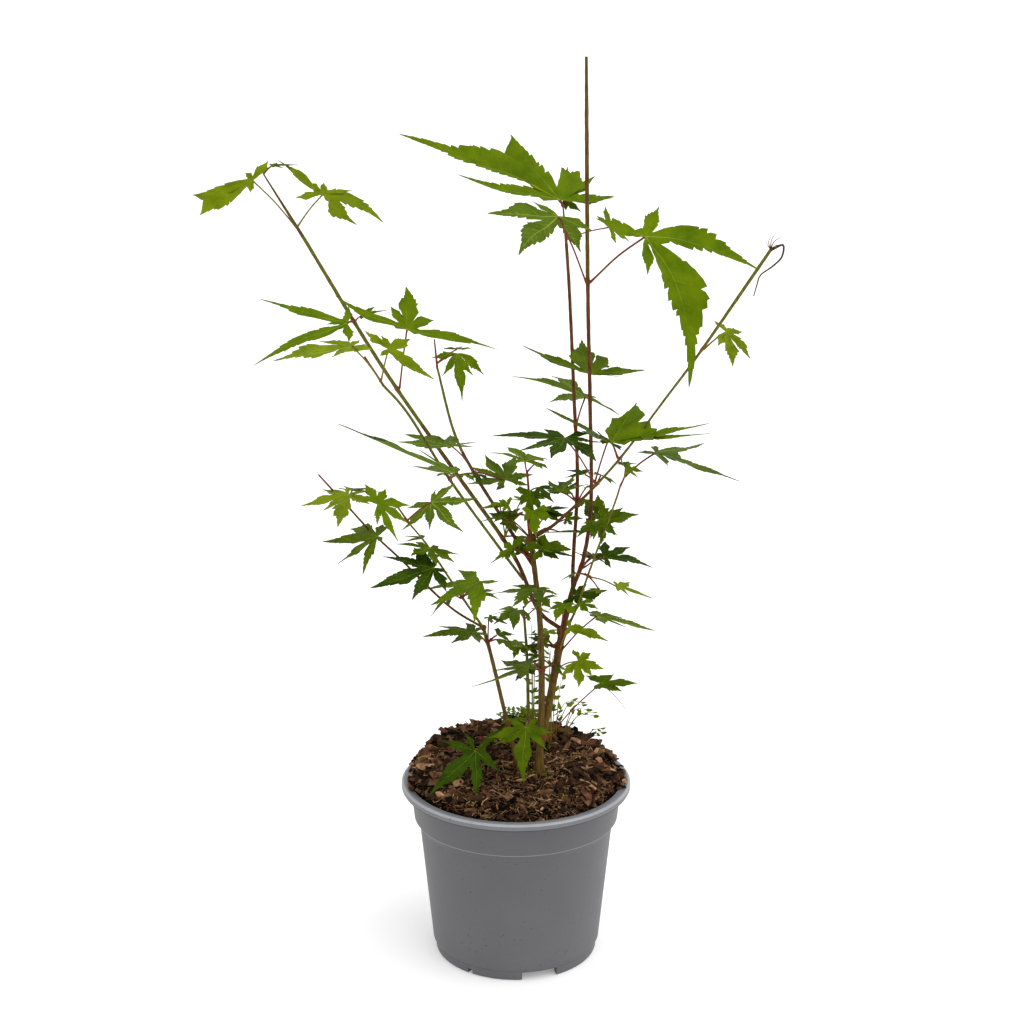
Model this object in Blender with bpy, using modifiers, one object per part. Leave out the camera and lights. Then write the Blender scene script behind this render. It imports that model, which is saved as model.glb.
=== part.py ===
"""A young japanese maple of several slender stems, in a round nursery pot.

Units are metres and +Z is up. The origin is the middle of the pot's underside, +X is the
plant's right and -Y its front. The planting lists below are in millimetres, times MM.
"""
import math
from collections import namedtuple

import bmesh
import bpy
import numpy as np
from mathutils import Vector
from mathutils.bvhtree import BVHTree

MM = 0.001
GAP = 0.0003

# Pot: a turned plastic tub with a rolled rim, a step below it and a ring foot.
POT_HEIGHT = 0.150
RIM_RADIUS = 0.095
RIM_DEPTH = 0.006
NECK_RADIUS = 0.0868
STEP_HEIGHT = 0.1185
STEP_RADIUS = 0.0840
SHOULDER_HEIGHT = 0.1125
SHOULDER_RADIUS = 0.0802
BASE_RADIUS = 0.0700
WALL = 0.0022
FOOT_RADIUS = 0.0680
FOOT_WIDTH = 0.0070
FOOT_HEIGHT = 0.0080
PAN_RADIUS = 0.0330
PLATE = 0.0030
PLATE_TOP = FOOT_HEIGHT - 0.001 + PLATE
ROUND_STEPS = 32
WIDE_GAP = 0.0300
NARROW_GAP = 0.0045
WIDE_GAP_HEADING = -73.0
NARROW_GAP_HEADING = -124.0
GAP_COUNT = 3
DRAIN_RADIUS = 0.0040
DRAIN_RING = 0.0465
DRAIN_COUNT = 6

# Soil: a rough mound of bark mix, highest at the back, that meets the rim all round.
SOIL_MIDDLE = 0.1610
SOIL_SLOPE = 0.10
SOIL_TILT = -0.03
SOIL_EDGE = 0.1482
SOIL_EDGE_SLOPE = 0.044
SOIL_SHOULDER = 0.073
SOIL_ROUGHNESS = 0.0016
SEAT_DEPTH = 0.0014
SEAT_MARGIN = 0.0015
SOIL_SEED = 5

# Stems and leaves.
BOUGH_STEP = 0.024
FLARE_HEIGHT = 0.022
FLARE = 1.1
COLLAR_HEIGHT = 0.0035
COLLAR_WALL = 0.0012
STALK_RADIUS = 0.00062
TWIG_RADIUS = 0.0008
STALK_ARCH = 0.08
LEAF_THICKNESS = 0.0005
LEAF_THICKNESS_RATIO = 0.011
LOBE_WIDTH = 0.0035
LOBE_WIDTH_RATIO = 0.10
SHOULDER_AT = 0.46
NOTCH_AT = 0.31
NOTCH_LEAST = 0.0012
PLAIN_LOBE = 33
LEAF_HEEL = 0.0030
LOBE_SPREAD = {3: 52.0, 5: 48.0, 7: 42.0}
CLEARANCE = 0.0006
LEAF_SEED = 11
YOUNG_STALK = (9, 17)
YOUNG_BLADE = (13, 24)
YOUNG_FORM = (0.7, 1.0, 0.75)
# Small turns of heading and droop that a leaf tries before it is left out, in degrees.
TURNS = ((0, 0), (7, 0), (-7, 0), (0, -9), (0, 9), (14, -9), (-14, -9), (20, 12), (-20, 12),
         (30, -15), (-30, -15))

# The ways a Boolean is tried: its solver, the distance it welds at, and how it splits faces.
ATTEMPTS = (("EXACT", 0.000002, None), ("EXACT", 0.000002, "EAR_CLIP"), ("MANIFOLD", 0.0000001, None),
            ("MANIFOLD", 0.0000001, "EAR_CLIP"), ("EXACT", 0.00001, "EAR_CLIP"))

PARTS = "potted_japanese_maple"
CUTTERS = "cutters"

Limb = namedtuple("Limb", "name path radii tone foot flare knob", defaults=(False, 0.0, 0.0))
Leaf = namedtuple("Leaf", "hub face lobes sag node lifts", defaults=(0.0, 0, None))
Mass = namedtuple("Mass", "name limb height leaves twig young tone", defaults=((), 0, "leaf_mid"))

# Each limb: its name, the points it passes through, and its radius at the foot and the tip.
# "foot" marks a limb that stands on the soil, whose first height is worked out from it.
LIMBS = (
    Limb("trunk_left", ((19, -12, 160), (21, -9, 230), (19, -5, 293), (12, 2, 355)), (3.5, 2.9),
         "bark_brown", True, FLARE, 4.6),
    Limb("trunk_right", ((20, -11, 182), (29, -2, 227), (38, 10, 275)), (3.3, 3.1),
         "bark_brown", False, 0.0, 5.0),
    Limb("leader", ((38, 10, 276), (46, 10, 311), (55, 8, 340), (60, 3, 388), (58, -4, 472),
                    (55, -10, 566), (52, -15, 735)), (2.7, 0.7), "bark_olive"),
    Limb("second_leader", ((46, 10, 312), (47, 24, 336), (50, 32, 397), (47, 40, 462), (43, 46, 543),
                           (40, 48, 587)), (1.8, 1.1), "bark_red"),
    Limb("left_bough", ((38, 10, 276), (18, 13, 293), (-3, 16, 340), (-50, 32, 405), (-110, 60, 487),
                        (-175, 94, 588)), (1.9, 1.1), "bark_olive"),
    Limb("left_back_bough", ((15, -1, 333), (-6, 28, 358), (-35, 62, 396), (-52, 78, 428), (-66, 96, 479)),
         (1.7, 0.9), "bark_red"),
    Limb("left_front_bough", ((6, 14, 318), (-13, -4, 350), (-52, -30, 414), (-83, -42, 469),
                              (-102, -46, 493)), (1.4, 0.8), "bark_olive"),
    Limb("low_left_stem", ((3, -12, 160), (-7, -18, 205), (-19, -28, 263), (-26, -34, 293)), (2.1, 1.9),
         "bark_brown", True, 0.5, 2.7),
    Limb("low_left_inner_bough", ((-26, -34, 293), (-45, -50, 328), (-68, -68, 371), (-82, -76, 392)),
         (1.3, 0.9), "bark_olive"),
    Limb("low_left_outer_bough", ((-26, -34, 293), (-53, -56, 319), (-88, -86, 366), (-108, -98, 390),
                                  (-123, -108, 411)), (1.3, 0.9), "bark_red"),
    Limb("inner_stem", ((10, 10, 161), (10, 10, 215), (9, 16, 252), (7, 24, 280)), (1.7, 1.1),
         "bark_olive", True, 0.5),
    Limb("right_bough", ((12, 2, 356), (35, -14, 377), (75, -40, 427), (113, -62, 486), (138, -76, 526),
                         (183, -100, 603)), (1.9, 0.9), "bark_olive"),
    Limb("right_front_bough", ((38, 10, 276), (47, -4, 295), (60, -18, 340), (76, -34, 393), (81, -40, 412)),
         (1.1, 0.8), "bark_olive"),
)
JOINED_LIMBS = {"trunk_right": "trunk_left"}
NODE_NAMES = {"trunk_left": "trunk"}

# Each mass of leaves: its name, the limb it grows on, the height of its node there, and its
# leaves. A leaf has the place of its hub, the heading, droop and roll of its blade, and the
# lengths of its lobes from the right-hand one round to the left-hand one. A mass with a twig
# grows on from the limb's tip; any other sits round the limb as a collar.
MASSES = (
    Mass("leader_leaves", "leader", 566, (
        Leaf((96, -50, 606), (40, -10, 60), (28, 68, 104, 44, 44, 24, 44), 0.0, 0,
             (-4, -56, 8, 0, -8, 0, -16)),
        Leaf((31, -50, 621), (120, 30, 30), (28, 48, 72, 56, 24))), tone="leaf_fresh"),
    Mass("leader_middle_leaves", "leader", 472, (
        Leaf((57, 14, 489), (100, -20, 0), (24, 48, 32, 44, 64, 30, 16)),)),
    Mass("leader_lower_leaves", "leader", 364, (
        Leaf((67, -15, 378), (0, -10, -45), (20, 32, 30, 40, 40, 28, 12)),
        Leaf((54, 0, 363), (185, 0, 10), (8, 14, 32, 10, 6)),
        Leaf((63, -30, 380), (260, 30, 20), (12, 20, 20, 16, 10))), tone="leaf_deep"),
    Mass("leader_foot_leaves", "leader", 331, (
        Leaf((70, -12, 345), (30, -20, 15), (12, 40, 28, 28, 12), 0.2),), young=1, tone="leaf_deep"),
    Mass("crown_leaves", "second_leader", None, (
        Leaf((34, 40, 623), (160, -20, 0), (24, 120, 148, 96, 28), 0.0, 1, (0, 12, -8, 0, 0)),
        Leaf((38, 58, 621), (30, -30, 30), (12, 20, 40, 34, 36, 24, 12), 0.0, 1),
        Leaf((74, 60, 599), (60, -20, 60), (12, 24, 22, 24, 16), 0.2)),
         ((37, 48, 618),), tone="leaf_fresh"),
    Mass("second_middle_leaves", "second_leader", 442, (
        Leaf((57, 72, 457), (225, -40, 0), (44, 68, 56, 30, 36), 0.2),)),
    Mass("second_lower_leaves", "second_leader", 381, (
        Leaf((36, 20, 391), (300, -40, -15), (12, 24, 28, 24, 12)),), young=1, tone="leaf_deep"),
    Mass("left_tip_leaves", "left_bough", None, (
        Leaf((-216, 110, 631), (225, 10, 30), (18, 44, 56, 64, 40, 32, 15)),
        Leaf((-156, 80, 623), (300, -20, -45), (20, 48, 46, 56, 56, 32, 15), 0.2),
        Leaf((-199, 101, 644), (20, 0, 10), (6, 12, 22, 10, 5), 0.0, 1)),
         ((-206, 102, 637),), tone="leaf_fresh"),
    Mass("left_upper_leaves", "left_bough", 521, (
        Leaf((-137, 56, 522), (200, 10, 0), (24, 88, 84, 72, 20), 0.0, 0, (0, 20, -12, 16, 0)),
        Leaf((-127, 90, 523), (0, -10, 15), (8, 20, 22, 16, 10))), tone="leaf_fresh"),
    Mass("left_lower_leaves", "left_bough", 468, (
        Leaf((-88, 50, 518), (90, -30, 30), (15, 80, 36, 56, 28, 64, 15)),), tone="leaf_fresh"),
    Mass("left_foot_leaves", "left_bough", 352, (
        Leaf((-13, 15, 380), (200, 0, 20), (8, 14, 18, 14, 8)),
        Leaf((4, 40, 378), (60, 0, 0), (8, 14, 20, 16, 8))), tone="leaf_lime"),
    Mass("left_front_leaves", "left_front_bough", None, (
        Leaf((-97, -60, 522), (240, -40, -15), (44, 36, 40, 72, 48)),
        Leaf((-122, -75, 528), (210, 10, 0), (36, 44, 56, 36, 20))),
         ((-115, -48, 515),), tone="leaf_lime"),
    Mass("left_inner_leaves", "left_front_bough", 414, (
        Leaf((-47, -65, 428), (165, -20, 30), (20, 60, 100, 40, 28)),), young=1, tone="leaf_deep"),
    Mass("left_back_leaves", "left_back_bough", None, (
        Leaf((-50, 110, 487), (30, 80, -45), (10, 20, 28, 44, 24, 28, 16)),),
         ((-68, 100, 501),)),
    Mass("middle_back_leaves", "left_back_bough", 396, (
        Leaf((-51, 15, 430), (225, -20, 15), (12, 28, 44, 52, 44, 28, 16)),
        Leaf((-9, 80, 385), (120, -20, 0), (20, 28, 44, 40, 34, 36, 20)))),
    Mass("heart_leaves", "trunk_left", None, (
        Leaf((12, -14, 383), (75, 60, -45), (12, 16, 24, 28, 20, 16, 12)),
        Leaf((11, -8, 399), (255, 10, 0), (8, 12, 16, 20, 20, 12, 8), 0.0, 1),
        Leaf((7, -20, 426), (240, -40, 0), (20, 32, 40, 44, 16), 0.2, 2),
        Leaf((-11, 2, 375), (190, 10, 0), (6, 12, 18, 14, 8)),
        Leaf((23, 8, 374), (10, 0, 10), (10, 16, 18, 16, 8))),
         ((10, 6, 374), (10, 8, 394), (9, 4, 412)), young=2, tone="leaf_deep"),
    Mass("trunk_upper_leaves", "trunk_left", 342, (
        Leaf((20, -20, 354), (350, 10, -20), (16, 20, 28, 22, 14)),), tone="leaf_deep"),
    Mass("trunk_middle_leaves", "trunk_left", 306, (
        Leaf((15, -32, 325), (240, 0, 0), (12, 20, 40, 36, 36, 24, 12)),), young=1, tone="leaf_deep"),
    Mass("trunk_lower_leaves", "trunk_left", 249, (
        Leaf((10, -50, 266), (170, 10, 0), (12, 26, 36, 30, 52, 28, 12)),), tone="leaf_mid"),
    Mass("trunk_right_leaves", "trunk_right", 247, (
        Leaf((42, -25, 261), (0, 20, 30), (14, 20, 22, 18, 10)),
        Leaf((38, 22, 239), (330, 20, -20), (16, 24, 22, 30, 12))), tone="leaf_lime"),
    Mass("trunk_top_leaves", "trunk_right", 262, (
        Leaf((65, -12, 296), (345, 10, -30), (10, 24, 30, 48, 30, 32, 12)),
        Leaf((47, -14, 284), (340, 20, 15), (6, 14, 30, 12, 6)),
        Leaf((38, -37, 319), (300, 0, 0), (12, 20, 36, 40, 28, 36, 14))), tone="leaf_deep"),
    Mass("right_inner_leaves", "right_bough", 411, (
        Leaf((70, -52, 450), (195, -30, 0), (32, 36, 56, 60, 25)),
        Leaf((37, -62, 455), (255, 10, 0), (24, 56, 40, 40, 52, 30, 20))), tone="leaf_deep"),
    Mass("right_middle_leaves", "right_bough", 434, (
        Leaf((94, -92, 461), (20, 10, -20), (28, 34, 54, 62, 56, 40, 28), 0.0, 0, (16, 8, 4, 8, 22, 16, 8)),
        Leaf((83, -22, 424), (60, 0, 0), (6, 12, 12, 12, 6)))),
    Mass("right_upper_leaves", "right_bough", 526, (
        Leaf((155, -62, 533), (60, 50, -15), (12, 18, 24, 32, 24, 20, 12)),), tone="leaf_fresh"),
    Mass("right_tip_wisp", "right_bough", None, (),
         ((191, -104, 607), (190, -108, 599), (184, -106, 592), (176, -102, 585), (174, -100, 578),
          (172, -98, 569)), tone="dry_wisp"),
    Mass("right_front_leaves", "right_front_bough", None, (
        Leaf((108, -35, 437), (0, 10, 0), (24, 48, 80, 50, 60, 36, 16), 0.0, 1),),
         ((84, -43, 420),)),
    Mass("right_low_leaves", "right_front_bough", 331, (
        Leaf((79, -40, 330), (330, 10, -45), (8, 24, 32, 14, 10)),
        Leaf((66, -32, 324), (200, 0, 0), (6, 10, 14, 9, 5))), tone="leaf_lime"),
    Mass("low_left_leaves", "low_left_stem", 281, (
        Leaf((-32, -56, 297), (195, 0, 0), (14, 24, 34, 42, 32, 26, 12)),
        Leaf((-22, -16, 296), (330, 10, 0), (6, 12, 18, 10, 6))), tone="leaf_mid"),
    Mass("low_left_middle_leaves", "low_left_inner_bough", 324, (
        Leaf((-28, -72, 344), (220, 10, 0), (32, 44, 50, 48, 20), 0.0, 0, (0, -4, 0, -12, 4)),), young=1),
    Mass("low_left_upper_leaves", "low_left_inner_bough", 368, (
        Leaf((-66, -84, 374), (285, 10, -15), (12, 28, 28, 30, 24, 24, 12)),), tone="leaf_deep"),
    Mass("low_left_inner_leaves", "low_left_inner_bough", None, (
        Leaf((-104, -93, 411), (45, 0, 45), (16, 28, 26, 32, 24, 24, 16), 0.2),
        Leaf((-66, -50, 401), (45, 40, -60), (12, 24, 40, 48, 28, 32, 20))),
         ((-91, -82, 408),), tone="leaf_lime"),
    Mass("low_left_outer_leaves", "low_left_outer_bough", 347, (
        Leaf((-62, -102, 364), (202, 10, -20), (12, 30, 42, 52, 40, 30, 12)),), tone="leaf_deep"),
    Mass("low_left_far_leaves", "low_left_outer_bough", 388, (
        Leaf((-103, -117, 393), (160, 20, -20), (12, 24, 46, 48, 36, 28, 12), 0.0, 0,
             (0, -4, -4, 8, 0, -12, 0)),)),
    Mass("low_left_tip_leaves", "low_left_outer_bough", None, (
        Leaf((-123, -127, 428), (220, 20, 0), (12, 28, 36, 24, 48, 30, 14)),
        Leaf((-124, -82, 419), (60, 10, 0), (10, 22, 30, 24, 12))),
         ((-145, -120, 441),), tone="leaf_lime"),
    Mass("inner_top_leaves", "inner_stem", None, (
        Leaf((1, 2, 296), (225, 0, 0), (10, 20, 20, 28, 32, 18, 8), 0.2),),
         ((6, 27, 290),), young=1, tone="leaf_gold"),
    Mass("inner_middle_leaves", "inner_stem", 258, (
        Leaf((2, -4, 271), (235, 0, 0), (6, 12, 15, 14, 8)),
        Leaf((24, 32, 266), (40, 0, 0), (6, 12, 16, 14, 8))), tone="leaf_lime"),
    Mass("foot_front_leaves", "inner_stem", 197, (
        Leaf((8, -38, 210), (225, 10, -15), (10, 24, 36, 28, 52, 28, 12), 0.2),)),
    Mass("foot_left_leaves", "low_left_stem", 203, (
        Leaf((-33, -34, 188), (240, 40, 0), (12, 30, 46, 34, 38, 28, 26)),), tone="leaf_deep"),
    Mass("foot_right_leaves", "trunk_right", 223, (
        Leaf((69, 30, 225), (20, -8, -10), (20, 32, 36, 24, 20)),), tone="leaf_mid"),
)

# Base colour, roughness and metallic value of each finish.
FINISHES = {
    "pot_plastic": ((0.140, 0.138, 0.145), 0.55, 0.0),
    "bark_mix": ((0.045, 0.026, 0.016), 0.95, 0.0),
    "bark_brown": ((0.110, 0.058, 0.022), 0.75, 0.0),
    "bark_olive": ((0.130, 0.120, 0.030), 0.65, 0.0),
    "bark_red": ((0.160, 0.055, 0.022), 0.65, 0.0),
    "leaf_fresh": ((0.110, 0.230, 0.022), 0.60, 0.0),
    "leaf_mid": ((0.075, 0.180, 0.020), 0.60, 0.0),
    "leaf_deep": ((0.030, 0.100, 0.016), 0.60, 0.0),
    "leaf_lime": ((0.210, 0.300, 0.022), 0.60, 0.0),
    "leaf_gold": ((0.330, 0.260, 0.030), 0.60, 0.0),
    "dry_wisp": ((0.120, 0.060, 0.030), 0.80, 0.0),
}


def clear_scene():
    """Remove every object, so that the script can be run again."""
    for item in list(bpy.data.objects):
        bpy.data.objects.remove(item, do_unlink=True)


def collection(name):
    """Return the collection of this name, linked into the scene."""
    found = bpy.data.collections.get(name) or bpy.data.collections.new(name)
    if found.name not in bpy.context.scene.collection.children:
        bpy.context.scene.collection.children.link(found)
    return found


def finish(name):
    """Return the material of this name, with its colour, roughness and metallic value."""
    material = bpy.data.materials.get(name)
    if material is None:
        colour, roughness, metallic = FINISHES[name]
        material = bpy.data.materials.new(name)
        material.use_nodes = True
        shader = material.node_tree.nodes["Principled BSDF"]
        shader.inputs["Base Color"].default_value = (*colour, 1.0)
        shader.inputs["Roughness"].default_value = roughness
        shader.inputs["Metallic"].default_value = metallic
        material.diffuse_color = (*colour, 1.0)
    return material


def add_object(name, data, home):
    """Link a new object with this data into the collection named home."""
    item = bpy.data.objects.new(name, data)
    collection(home).objects.link(item)
    if home == CUTTERS:
        item.hide_render = True
        item.display_type = "WIRE"
    return item


def evaluated_mesh(item):
    """Return a new mesh of the object with its modifiers applied."""
    bpy.context.view_layer.update()
    graph = bpy.context.evaluated_depsgraph_get()
    return bpy.data.meshes.new_from_object(item.evaluated_get(graph))


def apply_modifiers(item):
    """Put the evaluated mesh in place of the object's own, and drop its modifiers."""
    mesh = evaluated_mesh(item)
    item.modifiers.clear()
    item.data = mesh


def tidy_mesh(mesh, weld=0.000002):
    """Weld coincident points and turn all faces outwards."""
    shell = bmesh.new()
    shell.from_mesh(mesh)
    bmesh.ops.remove_doubles(shell, verts=shell.verts, dist=weld)
    bmesh.ops.recalc_face_normals(shell, faces=shell.faces)
    shell.to_mesh(mesh)
    shell.free()


def split_mesh(mesh, method="BEAUTY"):
    """Split the faces of the mesh into triangles."""
    shell = bmesh.new()
    shell.from_mesh(mesh)
    bmesh.ops.triangulate(shell, faces=shell.faces, ngon_method=method)
    shell.to_mesh(mesh)
    shell.free()


def is_closed(mesh):
    """Tell whether every edge joins exactly two faces, once the mesh is split into triangles."""
    shell = bmesh.new()
    shell.from_mesh(mesh)
    bmesh.ops.triangulate(shell, faces=shell.faces)
    closed = len(shell.faces) > 0 and all(edge.is_manifold for edge in shell.edges)
    shell.free()
    return closed


def keep_main_shell(mesh):
    """Drop loose scraps and the shells of sealed hollows, so that one closed body is left."""
    shell = bmesh.new()
    shell.from_mesh(mesh)
    unseen = set(shell.verts)
    groups = []
    while unseen:
        front = [unseen.pop()]
        group = set(front)
        while front:
            point = front.pop()
            near = {edge.other_vert(point) for edge in point.link_edges} - group
            group |= near
            front.extend(near)
        unseen -= group
        groups.append(group)
    groups.sort(key=len)
    for group in groups[:-1]:
        bmesh.ops.delete(shell, geom=list(group), context="VERTS")
    shell.to_mesh(mesh)
    shell.free()


def solid_tree(item):
    """Return a search tree of the object's triangles."""
    shell = bmesh.new()
    shell.from_mesh(item.data)
    shell.transform(item.matrix_world)
    bmesh.ops.triangulate(shell, faces=shell.faces)
    tree = BVHTree.FromBMesh(shell)
    shell.free()
    return tree


def boolean(item, other, operation):
    """Apply one Boolean with an object or a collection, and put its closed result in place."""
    for solver, weld, split in ATTEMPTS:
        modifier = item.modifiers.new(operation.lower(), "BOOLEAN")
        modifier.operation = operation
        modifier.solver = solver
        if isinstance(other, bpy.types.Collection):
            modifier.operand_type = "COLLECTION"
            modifier.collection = other
        else:
            modifier.object = other
        mesh = evaluated_mesh(item)
        item.modifiers.remove(modifier)
        tidy_mesh(mesh, weld)
        if split:
            split_mesh(mesh, split)
        keep_main_shell(mesh)
        if is_closed(mesh):
            break
    item.data = mesh


def join_with(item, others):
    """Fuse the other objects to this one by one union, and remove them."""
    group = bpy.data.collections.new("joined_to_" + item.name)
    bpy.context.scene.collection.children.link(group)
    for other in others:
        for home in list(other.users_collection):
            home.objects.unlink(other)
        group.objects.link(other)
    boolean(item, group, "UNION")
    for other in others:
        bpy.data.objects.remove(other, do_unlink=True)
    bpy.data.collections.remove(group)


def grown_copy(item):
    """Return a cutter: the object grown by the gap that neighbours keep."""
    cutter = add_object(item.name + "_cutter", item.data.copy(), CUTTERS)
    cutter.matrix_world = item.matrix_world.copy()
    swell = cutter.modifiers.new("gap", "DISPLACE")
    swell.strength = GAP * 1.15
    swell.mid_level = 0.0
    apply_modifiers(cutter)
    return cutter


def cut_clear(item, solids):
    """Cut the item clear of each solid that it runs into."""
    for solid in solids:
        cutter = grown_copy(solid)
        if solid_tree(item).overlap(solid_tree(cutter)):
            boolean(item, cutter, "DIFFERENCE")
        bpy.data.objects.remove(cutter, do_unlink=True)


def smooth_path(points, step):
    """Return points about one step apart on a smooth curve through the given points."""
    ends = [2 * points[0] - points[1], *points, 2 * points[-1] - points[-2]]
    path = []
    for before, start, stop, after in zip(ends, ends[1:], ends[2:], ends[3:]):
        count = max(1, round((stop - start).length / step))
        for i in range(count):
            t = i / count
            path.append(0.5 * (2 * start + (stop - before) * t
                               + (2 * before - 5 * start + 4 * stop - after) * t * t
                               + (3 * start - before - 3 * stop + after) * t ** 3))
    path.append(points[-1])
    return path


def tube(name, path, radii, resolution, home=PARTS):
    """Make a closed tube along the path, from a curve with a round bevel and filled caps."""
    curve = bpy.data.curves.new(name, "CURVE")
    curve.dimensions = "3D"
    curve.bevel_depth = 1.0
    curve.bevel_resolution = resolution
    curve.use_fill_caps = True
    spline = curve.splines.new("POLY")
    spline.points.add(len(path) - 1)
    for point, place, radius in zip(spline.points, path, radii):
        point.co = (*place, 1.0)
        point.radius = radius
    guide = add_object(name + "_curve", curve, home)
    mesh = evaluated_mesh(guide)
    bpy.data.objects.remove(guide, do_unlink=True)
    tidy_mesh(mesh)
    return add_object(name, mesh, home)


def dress(item, name):
    """Give the object its finish and shade it smooth across its shallow edges."""
    item.data.materials.clear()
    item.data.materials.append(finish(name))
    item.data.shade_smooth()
    item.data.set_sharp_from_angle(angle=math.radians(40))


def turned(name, profile, steps, home=PARTS):
    """Turn a profile, given as radius and height from top to bottom, about the Z axis."""
    shell = bmesh.new()
    points = [shell.verts.new((radius, 0.0, height)) for radius, height in profile]
    for start, stop in zip(points, points[1:]):
        shell.edges.new((start, stop))
    mesh = bpy.data.meshes.new(name)
    shell.to_mesh(mesh)
    shell.free()
    item = add_object(name, mesh, home)
    screw = item.modifiers.new("turn", "SCREW")
    screw.steps = steps
    screw.render_steps = steps
    screw.use_merge_vertices = True
    screw.merge_threshold = 0.00001
    apply_modifiers(item)
    tidy_mesh(item.data)
    return item


def round_cutter(name, radius, low, high, place):
    """Make an upright round cutter from one height to another."""
    mesh = bpy.data.meshes.new(name)
    shell = bmesh.new()
    bmesh.ops.create_cone(shell, cap_ends=True, segments=10, radius1=radius, radius2=radius, depth=high - low)
    shell.to_mesh(mesh)
    shell.free()
    cutter = add_object(name, mesh, CUTTERS)
    cutter.location = (place[0], place[1], (low + high) / 2)
    return cutter


def slot_cutter(name, width, height, heading):
    """Make a box cutter for a gap in the ring foot, at a heading in degrees."""
    mesh = bpy.data.meshes.new(name)
    shell = bmesh.new()
    bmesh.ops.create_cube(shell, size=1.0)
    shell.to_mesh(mesh)
    shell.free()
    cutter = add_object(name, mesh, CUTTERS)
    length = 3 * FOOT_WIDTH
    reach = FOOT_RADIUS - FOOT_WIDTH / 2
    turn = math.radians(heading)
    cutter.scale = (length, width, 2 * height)
    cutter.rotation_euler = (0.0, 0.0, turn)
    cutter.location = (reach * math.cos(turn), reach * math.sin(turn), 0.0)
    return cutter


def cut_with(item, cutters):
    """Cut each cutter out of the item, and remove the cutters."""
    for cutter in cutters:
        boolean(item, cutter, "DIFFERENCE")
        bpy.data.objects.remove(cutter, do_unlink=True)


def inner_radius(height):
    """Return the radius of the pot's inner wall at a height."""
    heights = (PLATE_TOP, SHOULDER_HEIGHT - 0.001, STEP_HEIGHT, POT_HEIGHT)
    radii = (BASE_RADIUS - WALL - 0.001, SHOULDER_RADIUS - WALL, STEP_RADIUS - WALL, NECK_RADIUS)
    return float(np.interp(height, heights, radii))


def build_pot():
    """Turn the pot, and cut the gaps in its foot and the drain holes in its floor."""
    rim_low = POT_HEIGHT - RIM_DEPTH
    inner = [(0.0, PLATE), (PAN_RADIUS - 0.002, PLATE), (PAN_RADIUS, PLATE_TOP)]
    inner += [(inner_radius(height), height) for height in (PLATE_TOP, SHOULDER_HEIGHT - 0.001, STEP_HEIGHT)]
    rim = [(NECK_RADIUS, POT_HEIGHT - 0.001), (NECK_RADIUS + 0.001, POT_HEIGHT),
           (RIM_RADIUS - 0.0012, POT_HEIGHT), (RIM_RADIUS, POT_HEIGHT - 0.0012),
           (RIM_RADIUS, rim_low + 0.001), (RIM_RADIUS - 0.001, rim_low)]
    outer = [(NECK_RADIUS + 0.0008, rim_low - 0.0015), (STEP_RADIUS + 0.0004, STEP_HEIGHT),
             (SHOULDER_RADIUS, SHOULDER_HEIGHT), (BASE_RADIUS, FOOT_HEIGHT + 0.0015),
             (FOOT_RADIUS, FOOT_HEIGHT), (FOOT_RADIUS - 0.0006, 0.0)]
    under = [(FOOT_RADIUS - FOOT_WIDTH, 0.0), (FOOT_RADIUS - FOOT_WIDTH - 0.001, FOOT_HEIGHT - 0.001),
             (PAN_RADIUS + 0.002, FOOT_HEIGHT - 0.001), (PAN_RADIUS, 0.0), (0.0, 0.0)]
    pot = turned("pot", inner + rim + outer + under, ROUND_STEPS)
    cutters = []
    for i in range(GAP_COUNT):
        turn = i * 360.0 / GAP_COUNT
        cutters.append(slot_cutter("wide_gap", WIDE_GAP, FOOT_HEIGHT - 0.001, WIDE_GAP_HEADING + turn))
        cutters.append(slot_cutter("narrow_gap", NARROW_GAP, FOOT_HEIGHT / 2, NARROW_GAP_HEADING + turn))
    for i in range(DRAIN_COUNT):
        turn = math.radians(i * 360.0 / DRAIN_COUNT + 15.0)
        place = (DRAIN_RING * math.cos(turn), DRAIN_RING * math.sin(turn))
        cutters.append(round_cutter("drain", DRAIN_RADIUS, FOOT_HEIGHT - 0.004, PLATE_TOP + 0.002, place))
    cut_with(pot, cutters)
    dress(pot, "pot_plastic")
    return pot


def soil_height(x, y):
    """Return the height of the soil's smooth surface over a point."""
    radius = math.hypot(x, y)
    edge = inner_radius(POT_HEIGHT)
    share = min(max((radius - SOIL_SHOULDER) / (edge - SOIL_SHOULDER), 0.0), 1.0)
    share = share * share * (3 - 2 * share)
    middle = SOIL_MIDDLE + SOIL_SLOPE * y + SOIL_TILT * x
    return middle * (1 - share) + (SOIL_EDGE + SOIL_EDGE_SLOPE * y) * share


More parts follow.
